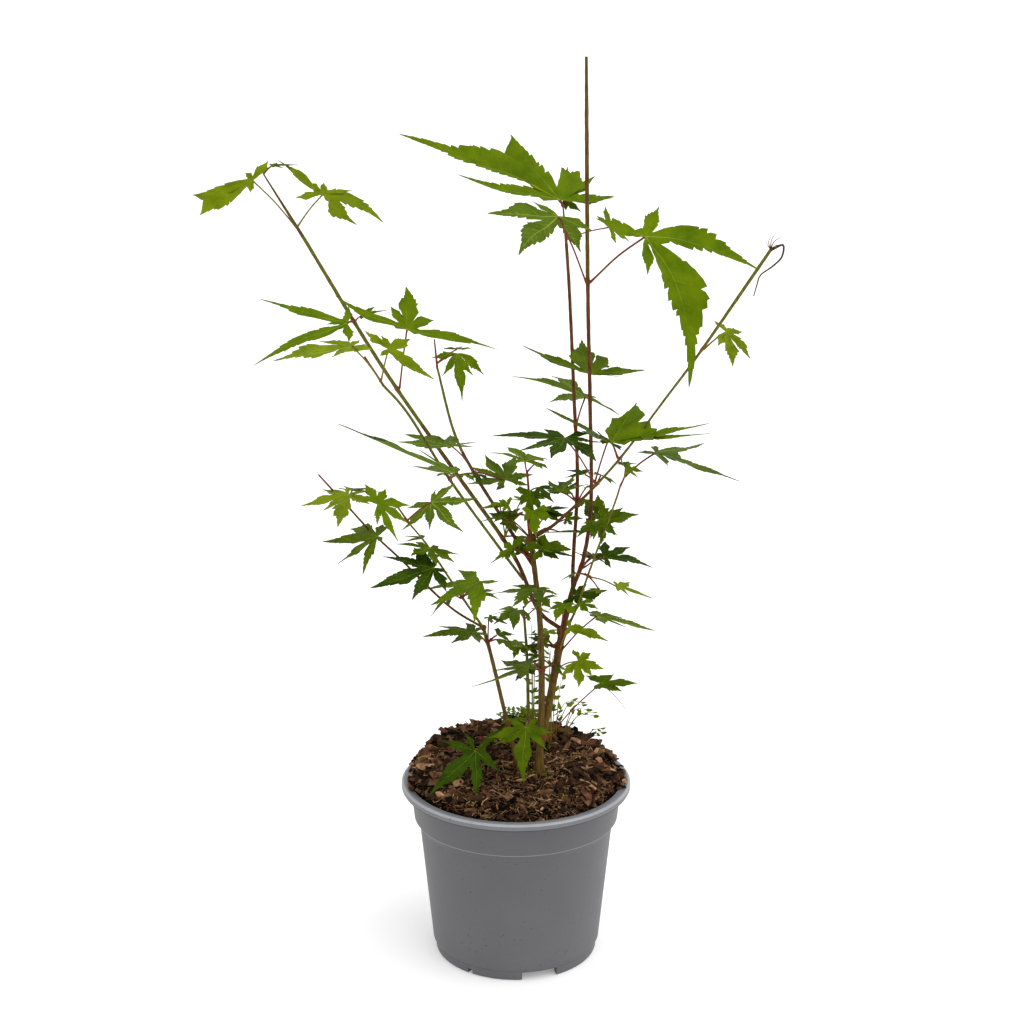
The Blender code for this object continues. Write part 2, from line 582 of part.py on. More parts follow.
def build_soil(feet):
    """Turn the soil to fill the pot, roughen its top, and cut a flat seat for each stem."""
    top_radii = (0.0, 0.018, 0.036, 0.054, 0.070, 0.079)
    profile = [(radius, 0.2) for radius in top_radii]
    profile += [(inner_radius(height) - GAP * 1.3, height)
                for height in (0.1452, STEP_HEIGHT, SHOULDER_HEIGHT - 0.001, PLATE_TOP + GAP)]
    profile += [(PAN_RADIUS, PLATE_TOP + GAP), (PAN_RADIUS - 0.003, PLATE + GAP), (0.0, PLATE + GAP)]
    soil = turned("soil", profile, ROUND_STEPS)
    rough = np.random.default_rng(SOIL_SEED)
    for point in soil.data.vertices:
        x, y, z = point.co
        if z > 0.19:
            point.co.z = soil_height(x, y) + rough.uniform(-SOIL_ROUGHNESS, SOIL_ROUGHNESS)
        elif z > 0.14:
            height = soil_height(x, y) - rough.uniform(0.0, SOIL_ROUGHNESS)
            inset = (inner_radius(height) - GAP * 1.3) / math.hypot(x, y)
            point.co = (x * inset, y * inset, height)
    seats = [round_cutter("seat", radius + SEAT_MARGIN, height - GAP, height + 0.02, (x, y))
             for x, y, height, radius in feet]
    cut_with(soil, seats)
    dress(soil, "bark_mix")
    return soil


def limb_path(limb):
    """Return the limb's points in metres, its foot set on the soil where it has one."""
    points = [Vector(point) * MM for point in limb.path]
    if limb.foot:
        points[0].z = foot_height(points[0].x, points[0].y)
    return smooth_path(points, BOUGH_STEP)


def foot_height(x, y):
    """Return the height of the flat cut under a stem's foot."""
    return soil_height(x, y) - SEAT_DEPTH + GAP


def limb_radii(limb, path):
    """Return the limb's radius at each point: an even taper, with a flare over the soil."""
    lengths = [0.0]
    for start, stop in zip(path, path[1:]):
        lengths.append(lengths[-1] + (stop - start).length)
    thick, thin = (radius * MM for radius in limb.radii)
    radii = []
    for point, length in zip(path, lengths):
        radius = thick + (thin - thick) * length / lengths[-1]
        rise = max(0.0, 1.0 - (point.z - path[0].z) / FLARE_HEIGHT)
        radii.append(radius * (1.0 + limb.flare * rise * rise))
    return radii


def knob(name, place, radius):
    """Make the swelling where a limb forks."""
    mesh = bpy.data.meshes.new(name)
    shell = bmesh.new()
    bmesh.ops.create_uvsphere(shell, u_segments=10, v_segments=7, radius=radius)
    shell.to_mesh(mesh)
    shell.free()
    ball = add_object(name, mesh, PARTS)
    ball.location = place
    return ball


def build_limb(limb):
    """Make one limb as a tapering tube, with the knob at its tip if it has one."""
    path = limb_path(limb)
    radii = limb_radii(limb, path)
    if limb.foot:
        flare_point = path[0].lerp(path[1], 0.45)
        path.insert(1, flare_point)
        radii = limb_radii(limb, path)
    item = tube(limb.name, path, radii, 2)
    if limb.foot:
        for point in item.data.vertices:
            if (point.co - path[0]).length < radii[0] * 1.05:
                point.co.z = path[0].z
    if limb.knob:
        join_with(item, [knob("knob", path[-1], limb.knob * MM)])
    return item, path, radii


def build_limbs():
    """Build every limb, each cut clear of those before it, and return them with their paths."""
    items = {}
    runs = {}
    for limb in LIMBS:
        item, path, radii = build_limb(limb)
        runs[limb.name] = (path, radii)
        home = JOINED_LIMBS.get(limb.name)
        if home:
            join_with(items[home], [item])
            continue
        cut_clear(item, list(items.values()))
        items[limb.name] = item
    for limb in LIMBS:
        if limb.name in items:
            dress(items[limb.name], limb.tone)
            items[limb.name].name = NODE_NAMES.get(limb.name, limb.name)
    return items, runs


def blade_axes(face, turn=(0, 0)):
    """Return the blade's axes: along its middle lobe, to its left, and out of its upper side."""
    heading = math.radians(face[0] + turn[0])
    droop = math.radians(face[1] + turn[1])
    roll = math.radians(face[2])
    reach = math.cos(droop)
    along = Vector((math.cos(heading) * reach, math.sin(heading) * reach, -math.sin(droop)))
    level = Vector((-math.sin(heading), math.cos(heading), 0.0))
    up = along.cross(level)
    left = level * math.cos(roll) + up * math.sin(roll)
    return along, left, along.cross(left)


def blade_outline(leaf, turn, grow=0.0):
    """Return the blade's hub, the corners of its rim in order round it, and its upward axis."""
    hub = Vector(leaf.hub) * MM
    along, left, up = blade_axes(leaf.face, turn)
    count = len(leaf.lobes)
    spread = math.radians(LOBE_SPREAD[count])
    lifts = leaf.lifts or (0,) * count
    middle = (count - 1) / 2
    drops = [(leaf.sag * size - lift) * MM for size, lift in zip(leaf.lobes, lifts)]
    rim = [hub - along * (LEAF_HEEL + grow)]
    for i, size in enumerate(leaf.lobes):
        length = size * MM + grow
        angle = (i - middle) * spread
        out = along * math.cos(angle) + left * math.sin(angle)
        side = up.cross(out)
        tip = hub + out * length
        tip.z -= drops[i]
        if size < PLAIN_LOBE:
            rim.append(tip)
        else:
            reach = length * SHOULDER_AT
            width = min(LOBE_WIDTH + LOBE_WIDTH_RATIO * length, reach * math.tan(spread / 2) * 0.84) + grow
            waist = hub + out * reach
            waist.z -= drops[i] * SHOULDER_AT ** 2
            rim += [waist - side * width, tip, waist + side * width]
        if i + 1 < count:
            angle += spread / 2
            after = leaf.lobes[i + 1]
            reach = NOTCH_AT * min(size, after) * MM + NOTCH_LEAST + grow
            notch = hub + (along * math.cos(angle) + left * math.sin(angle)) * reach
            notch.z -= 0.5 * (drops[i] / (size * MM) ** 2 + drops[i + 1] / (after * MM) ** 2) * reach ** 2
            rim.append(notch)
    return hub, rim, up


def blade_solid(leaf, turn, grow=0.0):
    """Return the blade as a closed shell: a fan about its hub, a copy below it, and a rim."""
    hub, rim, up = blade_outline(leaf, turn, grow)
    half = up * ((LEAF_THICKNESS + LEAF_THICKNESS_RATIO * max(leaf.lobes) * MM) / 2 + grow)
    shell = bmesh.new()
    crown = shell.verts.new(hub + half)
    keel = shell.verts.new(hub - half)
    over = [shell.verts.new(point + half) for point in rim]
    under = [shell.verts.new(point - half) for point in rim]
    for i in range(len(rim)):
        j = (i + 1) % len(rim)
        shell.faces.new((crown, over[i], over[j]))
        shell.faces.new((keel, under[j], under[i]))
        shell.faces.new((over[i], under[i], under[j]))
        shell.faces.new((over[i], under[j], over[j]))
    bmesh.ops.recalc_face_normals(shell, faces=shell.faces)
    return shell


def shell_object(name, shell):
    """Turn a bmesh shell into an object."""
    mesh = bpy.data.meshes.new(name)
    shell.to_mesh(mesh)
    shell.free()
    return add_object(name, mesh, PARTS)


def stalk_path(node, leaf, turn):
    """Return the path of a leaf stalk: out of its node's ring, then arching into the blade."""
    start, along, reach = node
    hub = Vector(leaf.hub) * MM
    heading = blade_axes(leaf.face, turn)[0]
    side = (hub - start) - along * (hub - start).dot(along)
    root = start + side.normalized() * reach
    arch = Vector((0.0, 0.0, STALK_ARCH * (hub - root).length))
    path = [start, root] if reach else [start]
    return [*path, root.lerp(hub, 0.5) + arch, hub + heading * LEAF_HEEL]


def stalk_reach(node, leaf, turn):
    """Return sample points along a stalk, past the ring of the node that it starts from."""
    path = stalk_path(node, leaf, turn)
    samples = []
    for a, b in zip(path, path[1:]):
        samples += [a.lerp(b, share / 5) for share in range(5)]
    return [point for point in samples if (point - node[0]).length > node[2] + 0.003]


def is_free(node, leaf, turn, trees):
    """Tell whether the leaf and its stalk, at this turn, would keep clear of every piece."""
    shell = blade_solid(leaf, turn, CLEARANCE)
    tree = BVHTree.FromBMesh(shell)
    shell.free()
    if any(other.overlap(tree) for other in trees):
        return False
    margin = STALK_RADIUS * 1.3 + CLEARANCE
    for point in stalk_reach(node, leaf, turn):
        if any(other.find_nearest(point, margin)[0] is not None for other in trees):
            return False
    return True


def young_leaves(mass, nodes, rule):
    """Return small leaves at the mass's nodes, turned by chance from a seeded rule."""
    leaves = []
    for i in range(mass.young):
        node = i % len(nodes)
        heading = rule.uniform(0.0, 360.0)
        stalk = rule.uniform(*YOUNG_STALK)
        blade = rule.uniform(*YOUNG_BLADE)
        turn = math.radians(heading)
        out = Vector((math.cos(turn), math.sin(turn), rule.uniform(0.1, 0.7)))
        hub = nodes[node][0] / MM + out.normalized() * stalk
        lobes = tuple(share * blade for share in YOUNG_FORM)
        face = (heading + rule.uniform(-30, 30), rule.uniform(-10, 35), rule.uniform(-25, 25))
        leaves.append(Leaf(tuple(hub), face, lobes, 0.1, node))
    return leaves


def node_on_limb(run, height):
    """Return the place, direction and radius of a limb where it passes a height."""
    path, radii = run
    for i, (start, stop) in enumerate(zip(path, path[1:])):
        if start.z <= height <= stop.z:
            share = (height - start.z) / (stop.z - start.z)
            radius = radii[i] * (1 - share) + radii[i + 1] * share
            return start.lerp(stop, share), (stop - start).normalized(), radius
    raise ValueError("no such height on this limb")


def collar(mass, run):
    """Make the swollen ring of a leafy node round its limb, and return it with its nodes."""
    place, along, radius = node_on_limb(run, mass.height * MM)
    outer = radius + GAP + COLLAR_WALL
    half = along * COLLAR_HEIGHT / 2
    ring = tube(mass.name, [place - half, place, place + half], [outer * 0.84, outer, outer * 0.84], 1)
    return ring, [(place, along, outer + 0.0004)]


def leading_twig(mass, run):
    """Make the twig that grows on from its limb's tip, and return it with its nodes."""
    path, radii = run
    tip = path[-1]
    along = (path[-1] - path[-2]).normalized()
    lift = next(limb.knob for limb in LIMBS if limb.name == mass.limb) * MM
    start = tip + along * (lift + GAP if lift == 0.0 else lift * 0.5)
    points = [start] + [Vector(point) * MM for point in mass.twig]
    thick = max(radii[-1], TWIG_RADIUS) if mass.leaves else TWIG_RADIUS
    run_path = smooth_path(points, 0.010)
    count = len(run_path) - 1
    sizes = [thick + (TWIG_RADIUS * 0.7 - thick) * i / count for i in range(count + 1)]
    nodes = [start.lerp(points[1], 0.15), *points[1:]]
    return tube(mass.name, run_path, sizes, 1), [(node, along, 0.0) for node in nodes]


def build_mass(mass, runs, limbs, trees, rule):
    """Build one mass: its twig or collar, with stalks and leaves fused on."""
    make = leading_twig if mass.twig else collar
    item, nodes = make(mass, runs[mass.limb])
    pieces = []
    for leaf in [*mass.leaves, *young_leaves(mass, nodes, rule)]:
        node = nodes[leaf.node]
        turn = next((turn for turn in TURNS if is_free(node, leaf, turn, trees)), None)
        if turn is None:
            continue
        path = stalk_path(node, leaf, turn)
        radii = [STALK_RADIUS * 1.2] * (len(path) - 2) + [STALK_RADIUS, STALK_RADIUS * 0.8]
        pieces.append(tube("stalk", path, radii, 0))
        pieces.append(shell_object("blade", blade_solid(leaf, turn)))
    if pieces:
        join_with(item, pieces)
    cut_clear(item, limbs)
    dress(item, mass.tone)
    return item


def main():
    """Build the pot, the stems, the soil and every mass of leaves."""
    clear_scene()
    pot = build_pot()
    items, runs = build_limbs()
    feet = [(*runs[limb.name][0][0], runs[limb.name][1][0]) for limb in LIMBS if limb.foot]
    soil = build_soil(feet)
    limbs = list(items.values())
    trees = [solid_tree(item) for item in [pot, soil, *limbs]]
    rule = np.random.default_rng(LEAF_SEED)
    for mass in MASSES:
        item = build_mass(mass, runs, limbs, trees, rule)
        trees.append(solid_tree(item))


main()
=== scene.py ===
"""The dressed japanese maple: a young plant of several stems in a round nursery pot.

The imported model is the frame. Every limb, mass of leaves, the soil and the pot get a detailed
piece in the same place. Units are metres, +Z is up and -Y is the plant's front. The planting
lists are in millimetres and degrees.
"""

import logging
import math
from dataclasses import dataclass, field
from enum import Enum
from typing import Iterable, Sequence

import bmesh
import bpy
import numpy as np
from mathutils import Matrix, Vector


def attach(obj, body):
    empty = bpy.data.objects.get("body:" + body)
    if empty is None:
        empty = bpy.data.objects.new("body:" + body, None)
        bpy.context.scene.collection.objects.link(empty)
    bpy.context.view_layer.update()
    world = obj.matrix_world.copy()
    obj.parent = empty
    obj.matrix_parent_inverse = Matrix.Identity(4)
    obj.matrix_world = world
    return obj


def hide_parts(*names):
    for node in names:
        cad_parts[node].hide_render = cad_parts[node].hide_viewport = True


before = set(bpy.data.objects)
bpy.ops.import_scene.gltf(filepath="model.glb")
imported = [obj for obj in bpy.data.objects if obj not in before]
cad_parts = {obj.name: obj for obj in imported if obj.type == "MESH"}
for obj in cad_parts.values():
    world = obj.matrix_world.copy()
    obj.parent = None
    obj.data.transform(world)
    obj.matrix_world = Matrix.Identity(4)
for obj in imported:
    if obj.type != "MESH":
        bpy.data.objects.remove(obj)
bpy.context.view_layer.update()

log = logging.getLogger("maple")

MM = 0.001
FULL_TURN = 2 * math.pi
BODY = "root"

Triple = tuple[float, float, float]
Span = tuple[float, float]
Array = np.ndarray
Rule = np.random.Generator
Face = tuple[int, ...]
Shape = tuple[Array, list[Face]]
Piece = bpy.types.Object
Socket = bpy.types.NodeSocket


class PotSkin(Enum):
    """Finishes of the pot, in the order of its material slots: the wall, then copies of the same
    plastic that paint light and shade by place: painted light on the step and the lip's top, a
    painted highlight on the lip's edges, painted light on the lip's face and painted shade in the
    crease under it.
    """

    WALL = "pot_plastic"
    STEP = "rim_plastic"
    EDGE = "rim_edge"
    FACE = "rim_face"
    CREASE = "rim_crease"


class Tint(Enum):
    """Colours that leaves are dealt, by leaf."""

    FRESH = "leaf_fresh"
    MID = "leaf_mid"
    DEEP = "leaf_deep"
    LIME = "leaf_lime"
    GOLD = "leaf_gold"


class Underside(Enum):
    """Colours of the leaves' undersides."""

    GREEN = "under_leaf"
    LIME = "under_lime"


class Bark(Enum):
    """Kinds of bark."""

    BROWN = "bark_brown"
    OLIVE = "bark_olive"
    RED = "bark_red"


class Shoot(Enum):
    """Kinds of skin on twigs and leaf stalks."""

    STALK_RED = "stalk_red"
    STALK_GREEN = "stalk_green"
    BARK_BROWN = "bark_brown"
    BARK_RED = "bark_red"
    DRY = "dry_wisp"


class Chip(Enum):
    """Kinds of piece in the bark mix."""

    HUMUS = "humus"
    DARK = "dark_bark"
    BROWN = "brown_bark"
    RED = "red_bark"
    PALE = "pale_wood"
    STRAW = "straw"


class Herb(Enum):
    """Kinds of skin on the weeds and the moss."""

    WEED = "weed"
    FRESH = "leaf_fresh"
    MID = "leaf_mid"
    LIME = "leaf_lime"
    STALK = "stalk_green"
    MOSS = "moss"


class Grain(Enum):
    """Kinds of noise that raise lumps on a mesh."""

    CLOUDS = "CLOUDS"
    CELLS = "VORONOI"


Odds = tuple[tuple[Chip, float], ...]


# ---- finishes


@dataclass
class NodeSheet:
    """One material under construction, with short ways to add and join its nodes."""

    name: str
    material: bpy.types.Material = field(init=False)

    def __post_init__(self) -> None:
        """Start the material with its shader and output."""
        self.material = bpy.data.materials.new(self.name)
        self.material.use_nodes = True
        self.tree = self.material.node_tree
        self.shader = self.tree.nodes["Principled BSDF"]

    def put(self, socket: Socket, value: object) -> None:
        """Feed an input from another node, or set it."""
        if isinstance(value, Socket):
            self.tree.links.new(value, socket)
        else:
            socket.default_value = (*value, 1.0) if socket.type == "RGBA" else value

    def feed(self, node: bpy.types.Node, **values: object) -> bpy.types.Node:
        """Set a node's properties and inputs by name.

        Args:
            node: The node.
            values: Properties, or inputs with spaces written as underscores.

        Returns:
            The node.
        """
        for key, value in values.items():
            if hasattr(node, key):
                setattr(node, key, value)
            else:
                self.put(node.inputs[key.replace("_", " ")], value)
        return node

    def add(self, kind: str, **values: object) -> bpy.types.Node:
        """Return a new node of a kind, with its values set."""
        return self.feed(self.tree.nodes.new(kind), **values)

    def place(self, stretch: Triple = (1.0, 1.0, 1.0)) -> Socket:
        """Return object coordinates, stretched along each axis."""
        source = self.add("ShaderNodeTexCoord").outputs["Object"]
        return self.add("ShaderNodeMapping", Vector=source, Scale=stretch).outputs["Vector"]

    def noise(self, place: Socket, scale: float, detail: float) -> Socket:
        """Return a noise between 0 and 1 of a scale per metre and a number of finer layers."""
        return self.add("ShaderNodeTexNoise", Vector=place, Scale=scale, Detail=detail,
                        Roughness=0.6).outputs["Fac"]

    def mix(self, share: Socket, low: Socket | Triple, high: Socket | Triple,
            blend: str = "MIX") -> Socket:
        """Mix two colours, each a socket or a plain colour.

        Args:
            share: The share of the second colour.
            low: The first colour.
            high: The second colour.
            blend: How they are mixed.

        Returns:
            The mixed colour.
        """
        node = self.add("ShaderNodeMix", data_type="RGBA", blend_type=blend, Factor=share)
        colours = [socket for socket in node.inputs if socket.type == "RGBA"]
        self.put(colours[0], low)
        self.put(colours[1], high)
        return next(socket for socket in node.outputs if socket.type == "RGBA")

    def steps(self, value: Socket, low: float, high: float,
              floor: float = 0.0, top: float = 1.0) -> Socket:
        """Return a value spread from its range between two steps onto a new one, held there."""
        return self.add("ShaderNodeMapRange", Value=value, From_Min=low, From_Max=high,
                        To_Min=floor, To_Max=top).outputs["Result"]

    def bump(self, height: Socket, depth: float, strength: float) -> None:
        """Raise the surface by a value, over a depth in metres."""
        node = self.add("ShaderNodeBump", Height=height, Distance=depth, Strength=strength)
        self.feed(self.shader, Normal=node.outputs["Normal"])


@dataclass(frozen=True)
class PlasticFinish:
    """Moulded plastic, a little dusty, with painted shade that may darken it towards the rim, as
    under the lip.
    """

    name: str
    colour: Triple
    dust: Triple
    roughness: float
    deeper: float = 1.0
    shade_heights: Span = (0.03, 0.145)
    cloud_scale: float = 26.0
    grain_scale: float = 1400.0
    grain_depth: float = 0.00012
    speck_scale: float = 420.0
    speck_shade: float = 0.55

    def build(self) -> bpy.types.Material:
        """Return the material: dusty clouds, dark specks, a fine grain and, where set, painted
        shade towards the rim.
        """
        sheet = NodeSheet(self.name)
        place = sheet.place()
        cloud = sheet.noise(place, self.cloud_scale, 6.0)
        grain = sheet.noise(place, self.grain_scale, 3.0)
        colour = sheet.mix(sheet.steps(cloud, 0.35, 0.75), self.colour, self.dust)
        # Painted shade: the colour is darkened by the share deeper over these heights, towards the
        # rim, where the lip shades the wall.
        if self.deeper < 1.0:
            axes = sheet.add("ShaderNodeSeparateXYZ", Vector=place)
            up = sheet.steps(axes.outputs["Z"], *self.shade_heights)
            colour = sheet.mix(up, colour, (self.deeper,) * 3, "MULTIPLY")
        speck = sheet.steps(sheet.noise(place, self.speck_scale, 1.0), 0.70, 0.76)
        dark = tuple(self.speck_shade * part for part in self.colour)
        wear_and_highlight = sheet.steps(cloud, 0.3, 0.8, self.roughness - 0.06, self.roughness + 0.10)
        sheet.feed(sheet.shader, Base_Color=sheet.mix(speck, colour, dark), Roughness=wear_and_highlight)
        sheet.bump(grain, self.grain_depth, 0.5)
        return sheet.material


@dataclass(frozen=True)
class BarkFinish:
    """Smooth young bark, streaked along the stem, and warmer where its mesh's blush is high."""

    name: str
    colour: Triple
    streak: Triple
    blush: Triple
    roughness: float
    gloss: float = 0.10
    streak_scale: float = 900.0
    streak_length: float = 0.09
    streak_depth: float = 0.00035
    patch_scale: float = 70.0
    patch_length: float = 0.4

    def build(self) -> bpy.types.Material:
        """Return the material: streaks, and a blush that fades in patches."""
        sheet = NodeSheet(self.name)
        streaks = sheet.noise(sheet.place((1.0, 1.0, self.streak_length)), self.streak_scale, 5.0)
        patches = sheet.noise(sheet.place((1.0, 1.0, self.patch_length)), self.patch_scale, 3.0)
        base = sheet.mix(sheet.steps(streaks, 0.38, 0.66), self.colour, self.streak)
        attribute = sheet.add("ShaderNodeAttribute", attribute_name="blush")
        warm = sheet.add("ShaderNodeMath", operation="ADD", use_clamp=True)
        sheet.put(warm.inputs[0], attribute.outputs["Fac"])
        sheet.put(warm.inputs[1], sheet.steps(patches, 0.35, 0.75, -0.45, 0.35))
        sheet.feed(sheet.shader, Base_Color=sheet.mix(warm.outputs["Value"], base, self.blush),
                   Roughness=self.roughness, Specular_IOR_Level=self.gloss)
        sheet.bump(streaks, self.streak_depth, 0.6)
        return sheet.material


@dataclass(frozen=True)
class MottledFinish:
    """A plain surface with clouds of a second colour and a fine grain.

    Clouds are given as their scale, detail and steps, the grain as its scale, detail, depth and
    strength.
    """

    name: str
    colour: Triple
    shade: Triple
    roughness: float
    gloss: float
    clouds: tuple[float, ...]
    grain: tuple[float, ...]

    def build(self) -> bpy.types.Material:
        """Return the material."""
        sheet = NodeSheet(self.name)
        place = sheet.place()
        cloud = sheet.steps(sheet.noise(place, *self.clouds[:2]), *self.clouds[2:])
        sheet.feed(sheet.shader, Base_Color=sheet.mix(cloud, self.colour, self.shade),
                   Roughness=self.roughness, Specular_IOR_Level=self.gloss)
        sheet.bump(sheet.noise(place, *self.grain[:2]), *self.grain[2:])
        return sheet.material


@dataclass(frozen=True)
class LeafFinish(MottledFinish):
    """A leaf's skin: one colour, hardly varied, with a fine grain between its veins."""

    gloss: float = 0.03
    clouds: tuple[float, ...] = (75.0, 3.0, 0.32, 0.70)
    grain: tuple[float, ...] = (900.0, 3.0, 0.00025, 0.45)


@dataclass(frozen=True)
class ScrapFinish(MottledFinish):
    """Bark chips, humus and straw: a rough fibrous surface in two colours."""

    roughness: float = 0.9
    gloss: float = 0.05
    clouds: tuple[float, ...] = (160.0, 6.0, 0.35, 0.68)
    grain: tuple[float, ...] = (1100.0, 4.0, 0.0006, 0.8)


def srgb(*screen: float) -> Triple:
    """Return a linear colour from its three screen values between 0 and 255."""
    parts = [part / 255.0 for part in screen]
    return tuple(part / 12.92 if part <= 0.04045 else ((part + 0.055) / 1.055) ** 2.4
                 for part in parts)


FINISHES = (
    # The wall's 0.80 is painted shade towards the rim, under the lip.
    PlasticFinish("pot_plastic", srgb(84, 83, 86), srgb(91, 90, 93), 0.52, 0.80),
    # Painted light: a lighter copy of the plastic for the step and the lip's top.
    PlasticFinish("rim_plastic", srgb(110, 112, 116), srgb(122, 124, 129), 0.45),
    # Painted highlight along the lip's top roll and inner edge.
    PlasticFinish("rim_edge", srgb(148, 150, 156), srgb(162, 164, 169), 0.40),
    # Painted light on the lip's face.
    PlasticFinish("rim_face", srgb(101, 102, 106), srgb(110, 111, 115), 0.48),
    # Painted shade in the crease under the lip.
    PlasticFinish("rim_crease", srgb(52, 52, 55), srgb(60, 60, 63), 0.60),
    BarkFinish("bark_brown", srgb(104, 84, 32), srgb(66, 46, 20), srgb(98, 50, 24), 0.62),
    BarkFinish("bark_olive", srgb(108, 108, 28), srgb(74, 70, 18), srgb(112, 58, 26), 0.55),
    BarkFinish("bark_red", srgb(104, 66, 28), srgb(66, 30, 16), srgb(102, 42, 24), 0.55),
    BarkFinish("stalk_red", srgb(124, 66, 38), srgb(92, 42, 26), srgb(120, 60, 36), 0.50),
    BarkFinish("stalk_green", srgb(124, 118, 36), srgb(100, 86, 26), srgb(122, 78, 34), 0.50),
    LeafFinish("leaf_fresh", srgb(100, 122, 4), srgb(76, 99, 2), 0.46),
    LeafFinish("leaf_mid", srgb(84, 103, 5), srgb(56, 77, 2), 0.46),
    LeafFinish("leaf_deep", srgb(56, 78, 6), srgb(34, 54, 2), 0.46),
    LeafFinish("leaf_lime", srgb(118, 133, 9), srgb(89, 107, 5), 0.46),
    LeafFinish("leaf_gold", srgb(140, 126, 14), srgb(106, 92, 8), 0.50),
    LeafFinish("under_leaf", srgb(98, 120, 30), srgb(78, 100, 20), 0.60),
    LeafFinish("under_lime", srgb(128, 144, 26), srgb(100, 120, 18), 0.60),
    LeafFinish("leaf_vein", srgb(146, 166, 58), srgb(122, 144, 42), 0.50),
    LeafFinish("bud_scale", srgb(128, 54, 40), srgb(94, 40, 30), 0.50),
    LeafFinish("moss", srgb(112, 116, 30), srgb(74, 86, 22), 0.85),
    LeafFinish("weed", srgb(92, 122, 34), srgb(64, 94, 24), 0.55),
    ScrapFinish("humus", srgb(24, 17, 12), srgb(6, 4, 3)),
    ScrapFinish("dark_bark", srgb(76, 52, 36), srgb(30, 19, 12)),
    ScrapFinish("brown_bark", srgb(126, 94, 66), srgb(68, 46, 30)),
    ScrapFinish("red_bark", srgb(116, 74, 54), srgb(66, 39, 28)),
    ScrapFinish("pale_wood", srgb(200, 158, 122), srgb(140, 100, 70)),
    ScrapFinish("straw", srgb(176, 142, 92), srgb(120, 90, 54)),
    ScrapFinish("dry_wisp", srgb(86, 66, 40), srgb(52, 40, 28)),
)


class Paintbox:
    """All materials of the plant and its pot, each made once."""

    def __init__(self) -> None:
        """Build every finish."""
        self.materials = {finish.name: finish.build() for finish in FINISHES}

    def dress(self, piece: Piece, names: Iterable[str]) -> None:
        """Give a piece its finishes, in place of any it has."""
        piece.data.materials.clear()
        for name in names:
            piece.data.materials.append(self.materials[name])


# ---- small tools


def names_of(kinds: Iterable[Enum]) -> tuple[str, ...]:
    """Return the finishes' names of some kinds, or of all kinds of an Enum."""
    return tuple(kind.value for kind in kinds)


def settle(piece: Piece, slot: str, *nodes: str) -> None:
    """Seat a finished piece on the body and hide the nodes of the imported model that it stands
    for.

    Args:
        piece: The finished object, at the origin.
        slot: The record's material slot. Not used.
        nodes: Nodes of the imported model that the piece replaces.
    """
    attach(piece, BODY)
    if nodes:
        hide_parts(*nodes)
    log.info("%s: %d faces", piece.name, len(piece.data.polygons))


def deselect() -> None:
    """Leave edit mode and deselect every object."""
    if bpy.context.object and bpy.context.object.mode != "OBJECT":
        bpy.ops.object.mode_set(mode="OBJECT")
    bpy.ops.object.select_all(action="DESELECT")


def activate(piece: Piece) -> None:
    """Make one object the only selected and the active one."""
    deselect()
    piece.select_set(True)
    bpy.context.view_layer.objects.active = piece


def rows_of(points: Iterable[Vector]) -> Array:
    """Return points as the rows of an array."""
    return np.array([tuple(point) for point in points])


def eased(share: Array) -> Array:
    """Return shares between 0 and 1 that start and end softly."""
    return share * share * (3 - 2 * share)


def smooth_path(points: Sequence[Vector], step: float) -> list[Vector]:
    """Draw a smooth curve through points.

    Args:
        points: The points.
        step: How far its own points are apart, about.

    Returns:
        The curve's points.
    """
    ends = [2 * points[0] - points[1], *points, 2 * points[-1] - points[-2]]
    path = []
    for before, start, stop, after in zip(ends, ends[1:], ends[2:], ends[3:]):
        count = max(1, round((stop - start).length / step))
        for i in range(count):
            t = i / count
            path.append(0.5 * (2 * start + (stop - before) * t
                               + (2 * before - 5 * start + 4 * stop - after) * t * t
                               + (3 * start - before - 3 * stop + after) * t ** 3))
    path.append(points[-1].copy())
    return path


def ring_faces(rings: int, sides: int) -> list[Face]:
    """Join rings of points that follow one another."""
    return [(low + j, low + (j + 1) % sides, low + sides + (j + 1) % sides, low + sides + j)
            for low in range(0, (rings - 1) * sides, sides) for j in range(sides)]


def sweep(path: Sequence[Vector], radii: Sequence[float], sides: int) -> Shape:
    """Draw a closed tube along a path.

    Args:
        path: The points of its middle line.
        radii: Its radius at each point.
        sides: How many sides it has.

    Returns:
        The points, and the faces as tuples of point numbers.
    """
    spots = rows_of(path)
    ahead = np.gradient(spots, axis=0)
    ahead /= np.linalg.norm(ahead, axis=1, keepdims=True)
    normal = np.cross(ahead[0], (0.3, 1.0, 0.2))
    turns = np.linspace(0.0, FULL_TURN, sides, endpoint=False)[:, None]
    rings = []
    for spot, along, radius in zip(spots, ahead, radii):
        normal = normal - along * normal.dot(along)
        normal /= np.linalg.norm(normal)
        side = np.cross(along, normal)
        rings.append(spot + radius * (np.cos(turns) * normal + np.sin(turns) * side))
    points = np.concatenate([*rings, spots[:1], spots[-1:]])
    faces = ring_faces(len(rings), sides)
    last = (len(rings) - 1) * sides
    foot, tip = len(points) - 2, len(points) - 1
    faces += [(foot, (j + 1) % sides, j) for j in range(sides)]
    faces += [(tip, last + j, last + (j + 1) % sides) for j in range(sides)]
    return points, faces


@dataclass(frozen=True)
class Lump:
    """A rough lump of eight faces, with its top and base drawn in by a share."""

    top: float = 1.0
    base: float = 1.0
    faces: tuple[Face, ...] = ((0, 1, 4), (1, 2, 4), (2, 3, 4), (3, 0, 4),
                               (1, 0, 5), (2, 1, 5), (3, 2, 5), (0, 3, 5))

    @property
    def corners(self) -> Array:
        """Return its six corners, each at one unit from its middle or less."""
        return np.array([(1, 0, 0), (0, 1, 0), (-1, 0, 0), (0, -1, 0),
                         (0, 0, self.top), (0, 0, -self.base)], float)


